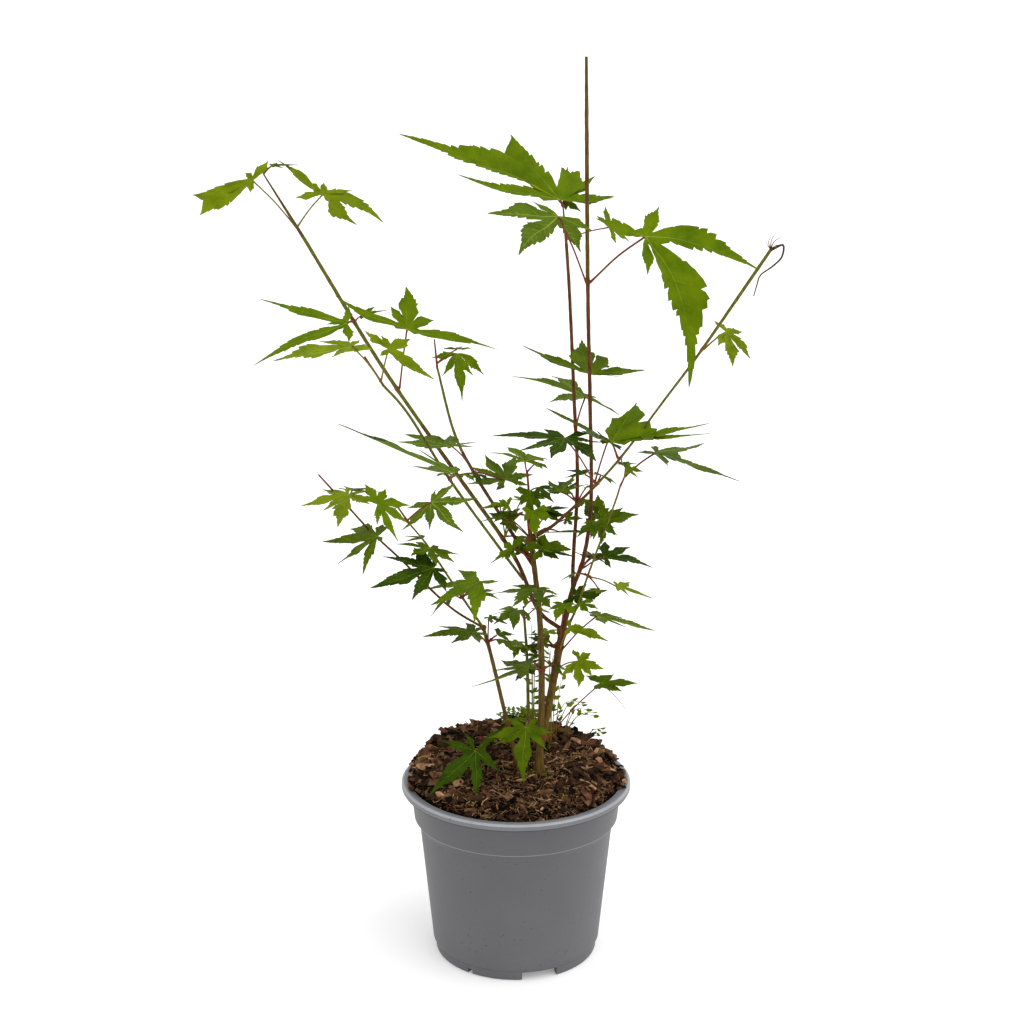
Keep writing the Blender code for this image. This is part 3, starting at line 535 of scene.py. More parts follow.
@dataclass(frozen=True)
class Relief:
    """One layer of lumps on a mesh: their kind, size, height and direction."""

    grain: Grain
    size: float
    height: float
    direction: str = "NORMAL"
    middle: float = 0.5

    def raise_on(self, piece: Piece, share: float = 1.0) -> None:
        """Raise the lumps on the active object.

        Args:
            piece: The active object.
            share: The share of their height that it gets.
        """
        texture = bpy.data.textures.new(f"{piece.name}_relief", self.grain.value)
        texture.noise_scale = self.size
        lumps = piece.modifiers.new("lumps", "DISPLACE")
        lumps.texture = texture
        lumps.texture_coords = "LOCAL"
        lumps.direction = self.direction
        lumps.strength = self.height * share
        lumps.mid_level = self.middle
        bpy.ops.object.modifier_apply(modifier=lumps.name)


@dataclass
class Heap:
    """Many small shapes gathered into one mesh, each face with its kind of finish."""

    name: str
    finishes: tuple[str, ...]
    points: list[Array] = field(default_factory=list)
    faces: list[Face] = field(default_factory=list)
    kinds: list[int] = field(default_factory=list)
    count: int = 0

    def add(self, shape: tuple[Array, Iterable[Face]], kind: Enum | str) -> None:
        """Add one shape of one finish."""
        self.add_skins(shape[0], ((shape[1], kind),))

    def add_skins(self, points: Array, skins: Iterable[tuple[Iterable[Face], Enum | str]]) -> None:
        """Add one shape of several finishes.

        Args:
            points: Its points.
            skins: Faces, as numbers of its own points, each group with its finish.
        """
        for faces, kind in skins:
            name = kind.value if isinstance(kind, Enum) else kind
            moved = [tuple(index + self.count for index in face) for face in faces]
            self.faces += moved
            self.kinds += [self.finishes.index(name)] * len(moved)
        self.points.append(points)
        self.count += len(points)

    def piece(self, paint: Paintbox, sharp: float) -> Piece:
        """Make the heap one dressed object.

        Args:
            paint: The materials.
            sharp: The angle in degrees from which an edge is shaded sharp.

        Returns:
            The object.
        """
        mesh = bpy.data.meshes.new(self.name)
        mesh.from_pydata(np.concatenate(self.points).tolist(), [], self.faces)
        mesh.polygons.foreach_set("use_smooth", [True] * len(self.faces))
        mesh.set_sharp_from_angle(angle=math.radians(sharp))
        item = bpy.data.objects.new(self.name, mesh)
        bpy.context.scene.collection.objects.link(item)
        paint.dress(item, self.finishes)
        mesh.polygons.foreach_set("material_index", self.kinds)
        mesh.update()
        return item


# ---- pot


@dataclass
class Pot:
    """The turned nursery pot: a rolled rim, a step below it, and a ring foot with gaps.

    A gap in the foot is given as its width and its heading in degrees.
    """

    height: float = 0.150
    rim_radius: float = 0.095
    rim_depth: float = 0.006
    neck_radius: float = 0.0868
    inner_top: float = 0.138
    step_height: float = 0.1185
    step_radius: float = 0.0840
    shoulder_height: float = 0.1125
    shoulder_radius: float = 0.0802
    base_radius: float = 0.0700
    wall: float = 0.0022
    foot_radius: float = 0.0680
    foot_width: float = 0.0070
    foot_height: float = 0.0080
    pan_radius: float = 0.0330
    plate: float = 0.0030
    steps: int = 160
    gap_count: int = 3
    wide_gap: Span = (0.030, -73.0)
    narrow_gap: Span = (0.0045, -124.0)
    drain_count: int = 6
    drain_radius: float = 0.0040
    drain_reach: float = 0.0465
    drain_turn: float = 15.0
    # How far down the lip the painted highlight on its edges reaches.
    wear_and_highlight: float = 0.0016
    line: float = 0.0006
    smooth: float = 38.0

    @property
    def plate_top(self) -> float:
        """Return the height of the raised part of the floor."""
        return self.foot_height - 0.001 + self.plate

    def inner_radius(self, height: float) -> float:
        """Work out the inner wall's radius."""
        heights = (self.plate_top, self.shoulder_height - 0.001, self.step_height, self.height)
        radii = (self.base_radius - self.wall - 0.001, self.shoulder_radius - self.wall,
                 self.step_radius - self.wall, self.neck_radius)
        return float(np.interp(height, heights, radii))

    def profile(self) -> list[Span]:
        """Work out the pot's section, from its floor inside round to its pan.

        Returns:
            The radius and height of each point.
        """
        top, rim, neck = self.height, self.rim_radius, self.neck_radius
        low = top - self.rim_depth
        step, shoulder, base = self.step_radius, self.shoulder_radius, self.base_radius
        step_top, shoulder_top = self.step_height, self.shoulder_height
        foot, foot_top, pan = self.foot_radius, self.foot_height, self.pan_radius
        inside = [(pan - 0.002, self.plate), (pan, self.plate_top)]
        inside += [(self.inner_radius(height), height)
                   for height in (self.plate_top, shoulder_top - 0.001, step_top, self.inner_top)]
        lip = [(neck, top - 0.0016), (neck + 0.0004, top - 0.0005), (neck + 0.0014, top),
               (rim - 0.0020, top), (rim - 0.0008, top - 0.0004), (rim, top - 0.0014),
               (rim, low + 0.0014), (rim - 0.0005, low + 0.0004), (rim - 0.0015, low)]
        band = [(neck + 0.0016, low - 0.0004), (neck + 0.0005, low - 0.0016),
                (step + 0.0007, step_top + self.line), (step + 0.0003, step_top),
                (step - 0.0003, step_top - self.line),
                (shoulder + 0.0004, shoulder_top + self.line),
                (shoulder, shoulder_top - self.line)]
        ring = [(base + 0.0004, foot_top + 0.0060), (base, foot_top + 0.0022),
                (base - 0.0009, foot_top + 0.0010), (foot, foot_top + 0.0006),
                (foot, foot_top - 0.0006), (foot - 0.0004, 0.0008), (foot - 0.0010, 0.0)]
        under = [(foot - self.foot_width, 0.0), (foot - self.foot_width - 0.001, foot_top - 0.001),
                 (pan + 0.002, foot_top - 0.001), (pan, 0.0)]
        return inside + lip + band + ring + under

    def turn(self) -> Piece:
        """Draw a ring out round the whole section, and close both middles.

        Returns:
            The turned body.
        """
        section = self.profile()
        radius, height = section[0]
        bpy.ops.mesh.primitive_circle_add(vertices=self.steps, radius=radius,
                                          location=(0.0, 0.0, height))
        pot = bpy.context.object
        pot.name = "nursery_pot"
        bpy.ops.object.mode_set(mode="EDIT")
        bpy.ops.mesh.select_all(action="SELECT")
        for after_radius, after_height in section[1:]:
            bpy.ops.mesh.extrude_region_move(
                TRANSFORM_OT_translate={"value": (0.0, 0.0, after_height - height)})
            share = after_radius / radius
            bpy.ops.transform.resize(value=(share, share, 1.0),
                                     center_override=(0.0, 0.0, after_height))
            radius, height = after_radius, after_height
        bpy.ops.mesh.edge_face_add()
        bpy.ops.mesh.select_all(action="DESELECT")
        bpy.ops.mesh.select_non_manifold(extend=False)
        bpy.ops.mesh.edge_face_add()
        bpy.ops.mesh.select_all(action="SELECT")
        bpy.ops.mesh.normals_make_consistent(inside=False)
        activate(pot)
        bpy.ops.object.transform_apply(location=True, rotation=True, scale=True)
        return pot

    def cutters(self) -> list[Piece]:
        """Make the bodies that cut the gaps in the foot and the drain holes in the floor.

        Returns:
            The bodies.
        """
        bodies = []
        reach = self.foot_radius - self.foot_width / 2
        depths = (self.foot_height - 0.001, self.foot_height / 2)
        for i in range(self.gap_count):
            turn = i * 360.0 / self.gap_count
            for (width, heading), depth in zip((self.wide_gap, self.narrow_gap), depths):
                angle = math.radians(heading + turn)
                bpy.ops.mesh.primitive_cube_add(
                    size=1.0, location=(reach * math.cos(angle), reach * math.sin(angle), 0.0),
                    rotation=(0.0, 0.0, angle), scale=(3 * self.foot_width, width, 2 * depth))
                bodies.append(bpy.context.object)
        for i in range(self.drain_count):
            angle = math.radians(i * 360.0 / self.drain_count + self.drain_turn)
            bpy.ops.mesh.primitive_cylinder_add(
                vertices=32, radius=self.drain_radius, depth=0.010,
                location=(self.drain_reach * math.cos(angle), self.drain_reach * math.sin(angle),
                          self.foot_height + 0.001))
            bodies.append(bpy.context.object)
        return bodies

    def skin_at(self, place: Vector) -> PotSkin:
        """Choose the finish of a face, which paints light and shade on the rim by place.

        Args:
            place: The face's middle.

        Returns:
            The finish.
        """
        reach = place.xy.length
        below = self.height - place.z
        # Painted light: the step's ledge gets the lighter rim plastic.
        if abs(place.z - self.step_height) < 0.0005 and reach > self.step_radius - self.line:
            return PotSkin.STEP
        if below > self.rim_depth + 0.0003 or reach < self.neck_radius - 0.0004:
            return PotSkin.WALL
        outer, inner = self.rim_radius - 0.0021, self.neck_radius + 0.0013
        # Painted highlight: the lip's top roll and inner edge are lighter.
        if below < self.wear_and_highlight and (reach > outer or reach < inner):
            return PotSkin.EDGE
        # Painted light on the lip's flat top.
        if reach < self.rim_radius - 0.0012:
            return PotSkin.STEP if below < 0.002 else PotSkin.WALL
        # The lip's face is painted lighter than the wall, and the crease under it gets painted
        # shade.
        return PotSkin.FACE if below < self.rim_depth - 0.0012 else PotSkin.CREASE

    def build(self, paint: Paintbox) -> None:
        """Turn the pot, cut its gaps and holes, dress it and seat it.

        Args:
            paint: The materials.
        """
        deselect()
        pot = self.turn()
        for body in self.cutters():
            activate(pot)
            cut = pot.modifiers.new("cut", "BOOLEAN")
            cut.operation = "DIFFERENCE"
            cut.solver = "EXACT"
            cut.object = body
            bpy.ops.object.modifier_apply(modifier=cut.name)
            bpy.data.objects.remove(body, do_unlink=True)
        activate(pot)
        bpy.ops.object.shade_smooth_by_angle(angle=math.radians(self.smooth))
        paint.dress(pot, names_of(PotSkin))
        slots = list(PotSkin)
        for face in pot.data.polygons:
            face.material_index = slots.index(self.skin_at(face.center))
        settle(pot, "pot_plastic", "pot")


# ---- planting lists


@dataclass(frozen=True)
class Band:
    """A stretch of a limb between two heights that has another bark."""

    low: float
    high: float
    bark: Bark


@dataclass(frozen=True)
class Limb:
    """One stem or bough: its middle line, its radii from foot to tip, and its bark.

    A limb with a foot stands in the soil and flares there. A knob closes its upper end.
    """

    name: str
    path: tuple[Triple, ...]
    radii: tuple[float, ...]
    bark: Bark
    foot: bool = False
    flare: float = 0.0
    knob: float = 0.0
    bands: tuple[Band, ...] = ()


@dataclass(frozen=True)
class Leaf:
    """One leaf: its hub, the heading, droop and roll of its blade, and its lobes' lengths.

    A lobe may be lifted, bowed to the left at its tip, broadened and turned, and each gap
    between lobes may be webbed further than the others and swung aside. A skewed lobe is broader
    on its left.
    """

    hub: Triple
    face: Triple
    lobes: tuple[float, ...]
    sag: float = 0.0
    node: int = 0
    tint: Tint | None = None
    lifts: tuple[float, ...] = ()
    bows: tuple[float, ...] = ()
    breadths: tuple[float, ...] | float = 1.0
    webs: tuple[float, ...] | float = 0.27
    turns: tuple[float, ...] = ()
    skews: tuple[float, ...] = ()
    swings: tuple[float, ...] = ()


@dataclass(frozen=True)
class Mass:
    """One mass of leaves: its limb, the height of its node there or its own twig, and its leaves.

    Young leaves are small ones that a seeded rule adds at its nodes.
    """

    name: str
    limb: str
    height: float | None
    leaves: tuple[Leaf, ...]
    twig: tuple[Triple, ...] = ()
    young: int = 0
    tint: Tint = Tint.MID
    shoot: Shoot = Shoot.STALK_RED


@dataclass(frozen=True)
class DeadTwig:
    """One dead or broken twig: its middle line, its radius at foot and tip, and its skin."""

    path: tuple[Triple, ...]
    foot: float
    tip: float
    skin: Shoot


DEAD_TWIGS = (
    DeadTwig(((-102, -46, 493), (-109, -46, 505), (-116, -46, 514)), 0.95, 0.35, Shoot.BARK_RED),
    *(DeadTwig(((183, -100, 603), middle, tip), 0.45, 0.15, Shoot.BARK_RED) for middle, tip in (
        ((181, -101, 609), (183, -101, 613)), ((183, -101, 610), (186, -101, 615)),
        ((185, -101, 609), (190, -101, 612)), ((180, -101, 607), (179, -101, 609)),
        ((186, -101, 606), (192, -101, 607)))),
    DeadTwig(((70, 10, 230), (84, 10, 216), (96, 12, 199)), 0.40, 0.14, Shoot.DRY),
    DeadTwig(((64, 10, 302), (60, 8, 306), (55, 6, 312)), 0.40, 0.20, Shoot.STALK_RED),
)

LIMBS = (
    Limb("trunk_left", ((19, -12, 160), (21, -9, 230), (19, -5, 293), (12, 2, 355)),
         (3.1, 2.9, 2.7, 2.5, 2.2, 2.1), Bark.BROWN, foot=True, flare=1.1, knob=4.6),
    Limb("trunk_right", ((20, -11, 182), (29, -2, 227), (38, 10, 275)), (3.3, 3.1), Bark.BROWN,
         knob=5.0),
    Limb("leader", ((38, 10, 276), (46, 10, 311), (55, 8, 340), (60, 3, 388), (58, -4, 472),
         (55, -10, 566), (52, -15, 735)),
         (2.5, 1.9, 1.6, 1.5, 1.5, 1.5, 1.5, 1.55, 1.6, 1.6, 1.55, 1.1), Bark.RED,
         bands=(Band(566, 740, Bark.BROWN),)),
    Limb("second_leader", ((46, 10, 312), (47, 24, 336), (50, 32, 397), (47, 40, 462),
         (43, 46, 543), (40, 48, 587)), (1.6, 1.3), Bark.RED),
    Limb("left_bough", ((38, 10, 276), (18, 13, 293), (-3, 16, 340), (-50, 32, 405),
         (-110, 60, 487), (-175, 94, 588)), (1.75, 1.5), Bark.OLIVE,
         bands=(Band(0, 352, Bark.RED), Band(372, 440, Bark.BROWN))),
    Limb("left_back_bough", ((15, -1, 333), (-6, 28, 358), (-35, 62, 396), (-52, 78, 428),
         (-66, 96, 479)), (1.7, 1.0), Bark.OLIVE, bands=(Band(0, 412, Bark.RED),)),
    Limb("left_front_bough", ((6, 14, 318), (-13, -4, 350), (-52, -30, 414), (-83, -42, 469),
         (-102, -46, 493)), (1.2, 1.05), Bark.OLIVE),
    Limb("low_left_stem", ((3, -12, 160), (-7, -18, 205), (-19, -28, 263), (-26, -34, 293)),
         (1.8, 1.5), Bark.BROWN, foot=True, flare=0.5, knob=2.7),
    Limb("low_left_inner_bough", ((-26, -34, 293), (-45, -50, 328), (-68, -68, 371),
         (-82, -76, 392)), (1.1, 0.7), Bark.OLIVE),
    Limb("low_left_outer_bough", ((-26, -34, 293), (-53, -56, 319), (-88, -86, 366),
         (-108, -98, 390), (-123, -108, 411)), (1.0, 0.75), Bark.RED),
    Limb("inner_stem", ((10, 10, 161), (10, 10, 215), (9, 16, 252), (7, 24, 280)), (1.7, 1.1),
         Bark.OLIVE, foot=True, flare=0.5),
    Limb("right_bough", ((12, 2, 356), (35, -14, 377), (75, -40, 427), (113, -62, 486),
         (138, -76, 526), (183, -100, 603)), (1.45, 1.2, 1.0, 0.9, 1.0, 1.25, 1.25), Bark.OLIVE,
         bands=(Band(0, 408, Bark.RED),)),
    Limb("right_front_bough", ((38, 10, 276), (47, -4, 295), (60, -18, 340), (76, -34, 393),
         (81, -40, 412)), (0.9, 0.75), Bark.OLIVE),
)
TRUNK_HALVES = ("trunk_left", "trunk_right")

MASSES = (
    Mass("leader_leaves", "leader", 566, (
        Leaf((96, -50, 606), (0, 20, 70), (29, 111, 88, 25, 40), turns=(29, 13, 18, 34, 86),
             bows=(0, -42, -26, 0, 0), breadths=(1.2, 1, 0.78, 1.5, 0.75),
             webs=(0.16, 0.16, 0.2, 0.24), skews=(0, 0.3, 0.4, 0, 0)),
        Leaf((31, -50, 621), (120, 30, 30), (28, 48, 72, 56, 24))), tint=Tint.FRESH),
    Mass("leader_middle_leaves", "leader", 472, (
        Leaf((58, 14, 489), (90, -20, 0), (24, 45, 29, 53, 69), turns=(-7, -33, -32, -41, -44),
             breadths=(0.3, 0.85, 1.9, 1.45, 0.55), webs=(0.2, 0.3, 0.95, 0.13),
             swings=(0, -6, 0, 15)),)),
    Mass("leader_lower_leaves", "leader", 364, (
        Leaf((67, -15, 376), (0, 10, 40), (19, 22, 17, 33, 24, 18, 9),
             turns=(13, 0, 1, 21, 2, 0, 0), breadths=(1.5, 1.6, 1.2, 1.1, 1.2, 1.2, 1), webs=0.42,
             tint=Tint.MID),
        Leaf((64, 14, 370), (90, -40, 0), (7, 16, 24, 15, 10), turns=(0, 0, -6, -13, 33),
             breadths=1.5),
        Leaf((54, 0, 363), (185, 0, 10), (8, 14, 32, 10, 6)),
        Leaf((63, -30, 380), (260, 30, 20), (12, 20, 20, 16, 10))), young=1, tint=Tint.DEEP),
    Mass("leader_foot_leaves", "leader", 331, (
        Leaf((70, -12, 345), (30, -20, 15), (12, 40, 28, 28, 12), sag=0.2),), young=3,
         tint=Tint.DEEP),
    Mass("crown_leaves", "second_leader", None, (
        Leaf((34, 40, 623), (110, -45, 0), (49, 37, 72, 134, 83), node=1, turns=(10, 8, 20, 0, -25),
             bows=(0, 0, 0, 31, 0), breadths=(0.75, 3.1, 0.9, 0.72, 0.42),
             webs=(0.35, 0.30, 0.78, 0.28), skews=(0, 0, 0, -0.5, -0.35), swings=(-9, 6, 1, 0)),
        Leaf((38, 58, 621), (30, -30, 30), (12, 20, 40, 34, 36, 24, 12), node=1),
        Leaf((74, 60, 599), (60, -20, 60), (12, 24, 22, 24, 16), sag=0.2)), twig=((37, 48, 618),),
         tint=Tint.FRESH),
    Mass("second_middle_leaves", "second_leader", 442, (
        Leaf((57, 72, 457), (225, -40, 0), (44, 68, 56, 30, 36), sag=0.2),)),
    Mass("second_lower_leaves", "second_leader", 381, (
        Leaf((36, 20, 391), (300, -40, -15), (12, 24, 28, 24, 12)),), young=3, tint=Tint.DEEP),
    Mass("left_tip_leaves", "left_bough", None, (
        Leaf((-216, 110, 631), (170, 0, -40), (24, 12, 51, 54, 14), turns=(-15, 0, 23, -1, 0),
             breadths=(1.3, 1, 0.9, 1.3, 1), webs=(0.3, 0.3, 0.82, 0.3)),
        Leaf((-156, 80, 623), (90, -35, 0), (47, 51, 24, 14, 20, 58, 22),
             turns=(-14, -6, -37, 0, 0, -38, -27), bows=(0, -33, 0, 0, 0, 0, 0),
             breadths=(0.9, 1.1, 1.2, 1.2, 1.3, 0.45, 1.4), webs=0.34),
        Leaf((-199, 101, 644), (20, 0, 10), (6, 12, 22, 10, 5), node=1)), twig=((-206, 102, 637),),
         tint=Tint.LIME, shoot=Shoot.BARK_BROWN),
    Mass("left_upper_leaves", "left_bough", 521, (
        Leaf((-137, 56, 522), (185, 0, -35), (20, 76, 16, 88, 22), turns=(0, 27, 0, -17, 0),
             breadths=(1, 0.5, 1, 0.5, 1)),
        Leaf((-127, 90, 523), (0, -10, 15), (8, 20, 22, 16, 10))), tint=Tint.FRESH),
    Mass("left_lower_leaves", "left_bough", 468, (
        Leaf((-88, 50, 518), (90, -45, 0), (76, 24, 43, 27, 69), turns=(-9, -17, 3, -17, -34),
             breadths=(0.5, 1.3, 1.5, 1.3, 0.4), webs=(0.3, 0.72, 0.72, 0.3)),), tint=Tint.FRESH),
    Mass("left_foot_leaves", "left_bough", 352, (
        Leaf((-13, 15, 380), (200, 0, 20), (8, 14, 18, 14, 8)),
        Leaf((-6, 10, 382), (180, 5, -35), (9, 10, 17, 8, 6), turns=(-4, 7, -4, 0, 0),
             breadths=1.3),
        Leaf((4, 40, 378), (60, 0, 0), (8, 14, 20, 16, 8))), young=1, tint=Tint.LIME),
    Mass("left_front_leaves", "left_front_bough", None, (
        Leaf((-96, -60, 523), (0, 20, 40), (10, 42, 21, 13, 23), turns=(-19, 29, 49, 81, 60),
             breadths=(1, 0.95, 1.7, 1, 1.3), webs=0.3, tint=Tint.LIME),
        Leaf((-122, -75, 528), (175, 10, 40), (16, 22, 62, 26, 10), turns=(-50, 20, -4, -14, 40),
             breadths=(0.9, 1.3, 0.95, 1.3, 0.9), webs=0.5, tint=Tint.LIME)),
         twig=((-115, -48, 515),), tint=Tint.LIME),
    Mass("left_inner_leaves", "left_front_bough", 414, (
        Leaf((-47, -65, 428), (165, -20, 30), (20, 60, 100, 40, 28)),), young=2, tint=Tint.DEEP),
    Mass("left_back_leaves", "left_back_bough", None, (
        Leaf((-50, 105, 488), (270, 50, 0), (21, 25, 47, 26, 30), turns=(16, 20, 4, -14, -30),
             bows=(0, 0, 3, 0, -10), breadths=(0.9, 0.8, 0.6, 0.8, 0.9), webs=0.12),
        Leaf((-50, 119, 489), (90, 8, 0), (8, 16, 30, 16, 8))), twig=((-68, 100, 501),),
         tint=Tint.FRESH),
    Mass("middle_back_leaves", "left_back_bough", 396, (
        Leaf((-51, 15, 430), (225, -20, 15), (12, 28, 44, 52, 44, 28, 16)),
        Leaf((-9, 80, 385), (120, -20, 0), (20, 28, 44, 40, 34, 36, 20))), young=1),
    Mass("heart_leaves", "trunk_left", None, (
        Leaf((13, -14, 384), (270, 60, 0), (9, 11, 22, 17, 14), turns=(-9, 7, 7, 22, 0),
             breadths=1.35, webs=0.5),
        Leaf((11, -4, 398), (270, 70, 0), (12, 14, 24, 18, 14), node=1, turns=(0, 16, -2, -18, -35),
             breadths=1.5, webs=0.55),
        Leaf((-2, 10, 369), (180, 0, -40), (12, 12, 22, 12, 12), turns=(0, -83, -20, -32, 0),
             breadths=1.5, webs=0.5),
        Leaf((40, 6, 372), (0, 0, 40), (6, 8, 14, 9, 6), tint=Tint.MID, breadths=1.3),
        Leaf((7, -20, 426), (240, -40, 0), (20, 32, 40, 44, 16), sag=0.2, node=2),
        Leaf((-11, 2, 375), (190, 10, 0), (6, 12, 18, 14, 8)),
        Leaf((23, 8, 374), (10, 0, 10), (10, 16, 18, 16, 8))),
         twig=((10, 6, 374), (10, 8, 394), (9, 4, 412)), young=6, tint=Tint.DEEP),
    Mass("trunk_upper_leaves", "trunk_left", 342, (
        Leaf((20, -20, 354), (350, 10, -20), (16, 20, 28, 22, 14)),
        Leaf((20, -16, 354), (0, 0, 40), (14, 18, 24, 14, 15), turns=(-16, 9, -3, 31, 80),
             breadths=1.5, webs=0.5, tint=Tint.MID),
        Leaf((-3, -6, 350), (180, 10, -40), (13, 10, 16, 11, 9), turns=(-41, 0, 23, 0, 0),
             breadths=1.3, tint=Tint.FRESH)), young=3, tint=Tint.DEEP),
    Mass("trunk_middle_leaves", "trunk_left", 306, (
        Leaf((15, -32, 325), (240, 0, 0), (12, 20, 40, 36, 36, 24, 12)),), young=4, tint=Tint.DEEP),
    Mass("trunk_lower_leaves", "trunk_left", 249, (
        Leaf((10, -50, 266), (170, 10, 0), (12, 26, 36, 30, 52, 28, 12)),), young=3, tint=Tint.MID),
    Mass("trunk_right_leaves", "trunk_right", 247, (
        Leaf((50, -25, 262), (330, 20, 30), (20, 26, 19, 22, 13, 12, 9),
             turns=(26, 26, 23, 14, 30, 60, 0), breadths=1.3, webs=0.36),), young=2,
         tint=Tint.LIME),
    Mass("trunk_top_leaves", "trunk_right", 262, (
        Leaf((65, -12, 296), (345, 10, -30), (10, 24, 30, 48, 30, 32, 12)),
        Leaf((42, -25, 290), (0, 15, 40), (8, 11, 34, 14, 8), turns=(0, 31, -7, -25, 0),
             tint=Tint.LIME),
        Leaf((47, 0, 309), (0, 0, 40), (15, 12, 28, 15, 10), turns=(-31, -9, 12, -3, 0),
             breadths=1.3, webs=0.4),
        Leaf((51, -10, 306), (330, 10, 30), (10, 13, 17, 12, 6), turns=(0, 25, 3, -12, 0),
             breadths=1.3, tint=Tint.FRESH),
        Leaf((38, -37, 314), (250, 20, 0), (10, 14, 24, 18, 10), tint=Tint.FRESH)), young=3,
         tint=Tint.DEEP),
    Mass("right_inner_leaves", "right_bough", 411, (
        Leaf((70, -52, 450), (195, -30, 0), (32, 36, 56, 60, 25)),
        Leaf((37, -62, 455), (255, 10, 0), (24, 56, 40, 40, 52, 30, 20))), young=2, tint=Tint.DEEP),
    Mass("right_middle_leaves", "right_bough", 434, (
        Leaf((73, -52, 449), (45, -35, 0), (83, 80, 44, 29, 12), turns=(27, -16, 10, -12, 0),
             breadths=(0.25, 0.75, 1.4, 1.4, 1), webs=(0.3, 0.75, 0.8, 0.3)),
        Leaf((83, -22, 424), (60, 0, 0), (6, 12, 12, 12, 6)))),
    Mass("right_upper_leaves", "right_bough", 526, (
        Leaf((156, -70, 538), (300, 35, 0), (20, 38, 30, 14, 13), turns=(46, 24, 12, 35, 102),
             breadths=(1.2, 1.1, 1.3, 1.5, 1.3), tint=Tint.LIME),), tint=Tint.LIME),
    Mass("right_tip_wisp", "right_bough", None, (),
         twig=((191, -104, 607), (190, -108, 599), (184, -106, 592), (176, -102, 585),
               (174, -100, 578), (172, -98, 569)),
         shoot=Shoot.DRY),
    Mass("right_front_leaves", "right_front_bough", None, (
        Leaf((108, -35, 437), (350, 10, 0), (17, 35, 75, 71, 21), node=1,
             turns=(-42, -20, -24, 12, -2), breadths=(0.8, 0.9, 0.65, 0.65, 1)),
        Leaf((84, -50, 428), (20, 15, 25), (8, 13, 15, 10, 7), node=1, tint=Tint.LIME)),
         twig=((84, -43, 420),)),
    Mass("right_low_leaves", "right_front_bough", 331, (
        Leaf((79, -40, 330), (330, 10, -45), (8, 24, 32, 14, 10)),
        Leaf((66, -32, 324), (200, 0, 0), (6, 10, 14, 9, 5))), young=1, tint=Tint.LIME),
    Mass("low_left_leaves", "low_left_stem", 281, (
        Leaf((-32, -56, 297), (195, 0, 0), (14, 24, 34, 42, 32, 26, 12)),
        Leaf((-22, -16, 296), (330, 10, 0), (6, 12, 18, 10, 6))), young=2, tint=Tint.MID),
    Mass("low_left_middle_leaves", "low_left_inner_bough", 324, (
        Leaf((-28, -72, 344), (220, 10, 0), (32, 44, 50, 48, 20), lifts=(0, -4, 0, -12, 4)),),
         young=2),
    Mass("low_left_upper_leaves", "low_left_inner_bough", 368, (
        Leaf((-66, -84, 374), (285, 10, -15), (12, 28, 28, 30, 24, 24, 12)),), young=1,
         tint=Tint.DEEP),
    Mass("low_left_inner_leaves", "low_left_inner_bough", None, (
        Leaf((-104, -93, 411), (45, 0, 45), (16, 28, 26, 32, 24, 24, 16), sag=0.2),
        Leaf((-66, -50, 401), (45, 40, -60), (12, 24, 40, 48, 28, 32, 20), breadths=0.78,
             tint=Tint.FRESH)), twig=((-91, -82, 408),), tint=Tint.LIME),
    Mass("low_left_outer_leaves", "low_left_outer_bough", 347, (
        Leaf((-62, -102, 364), (202, 10, -20), (12, 30, 42, 52, 40, 30, 12)),), tint=Tint.DEEP),
    Mass("low_left_far_leaves", "low_left_outer_bough", 388, (
        Leaf((-103, -117, 393), (160, 20, -20), (12, 24, 46, 48, 36, 28, 12),
             lifts=(0, -4, -4, 8, 0, -12, 0)),)),
    Mass("low_left_tip_leaves", "low_left_outer_bough", None, (
        Leaf((-123, -127, 428), (220, 20, 0), (12, 28, 36, 24, 48, 30, 14)),
        Leaf((-124, -82, 419), (60, 10, 0), (10, 22, 30, 24, 12))), twig=((-145, -120, 441),),
         tint=Tint.LIME),
    Mass("inner_top_leaves", "inner_stem", None, (
        Leaf((1, 2, 296), (225, 0, 0), (10, 20, 20, 28, 32, 18, 8), sag=0.2),),
         twig=((6, 27, 290),), young=2, tint=Tint.GOLD),
    Mass("inner_middle_leaves", "inner_stem", 258, (
        Leaf((2, -4, 271), (235, 0, 0), (6, 12, 15, 14, 8)),
        Leaf((24, 32, 266), (40, 0, 0), (6, 12, 16, 14, 8))), young=4, tint=Tint.LIME),
    Mass("foot_front_leaves", "inner_stem", 197, (
        Leaf((8, -38, 210), (270, 55, 0), (18, 33, 31, 46, 26, 22, 12),
             turns=(9, 7, -17, -3, -1, -6, 0), breadths=(0.8, 0.8, 0.75, 1.1, 0.8, 0.8, 0.8)),)),
    Mass("foot_left_leaves", "low_left_stem", 203, (
        Leaf((-33, -34, 188), (270, 50, 0), (17, 30, 52, 39, 27, 34, 12),
             turns=(-26, -22, 0, 2, 8, 46, 0), breadths=(0.9, 0.85, 1.05, 1.05, 0.8, 0.55, 0.8)),),
         tint=Tint.DEEP),
    Mass("foot_right_leaves", "trunk_right", 190, (
        Leaf((70, 10, 230), (0, 5, 40), (9, 19, 31, 14, 14), turns=(-35, 28, 4, -7, 60),
             breadths=1.2, webs=0.42),), tint=Tint.MID),
)


# ---- soil


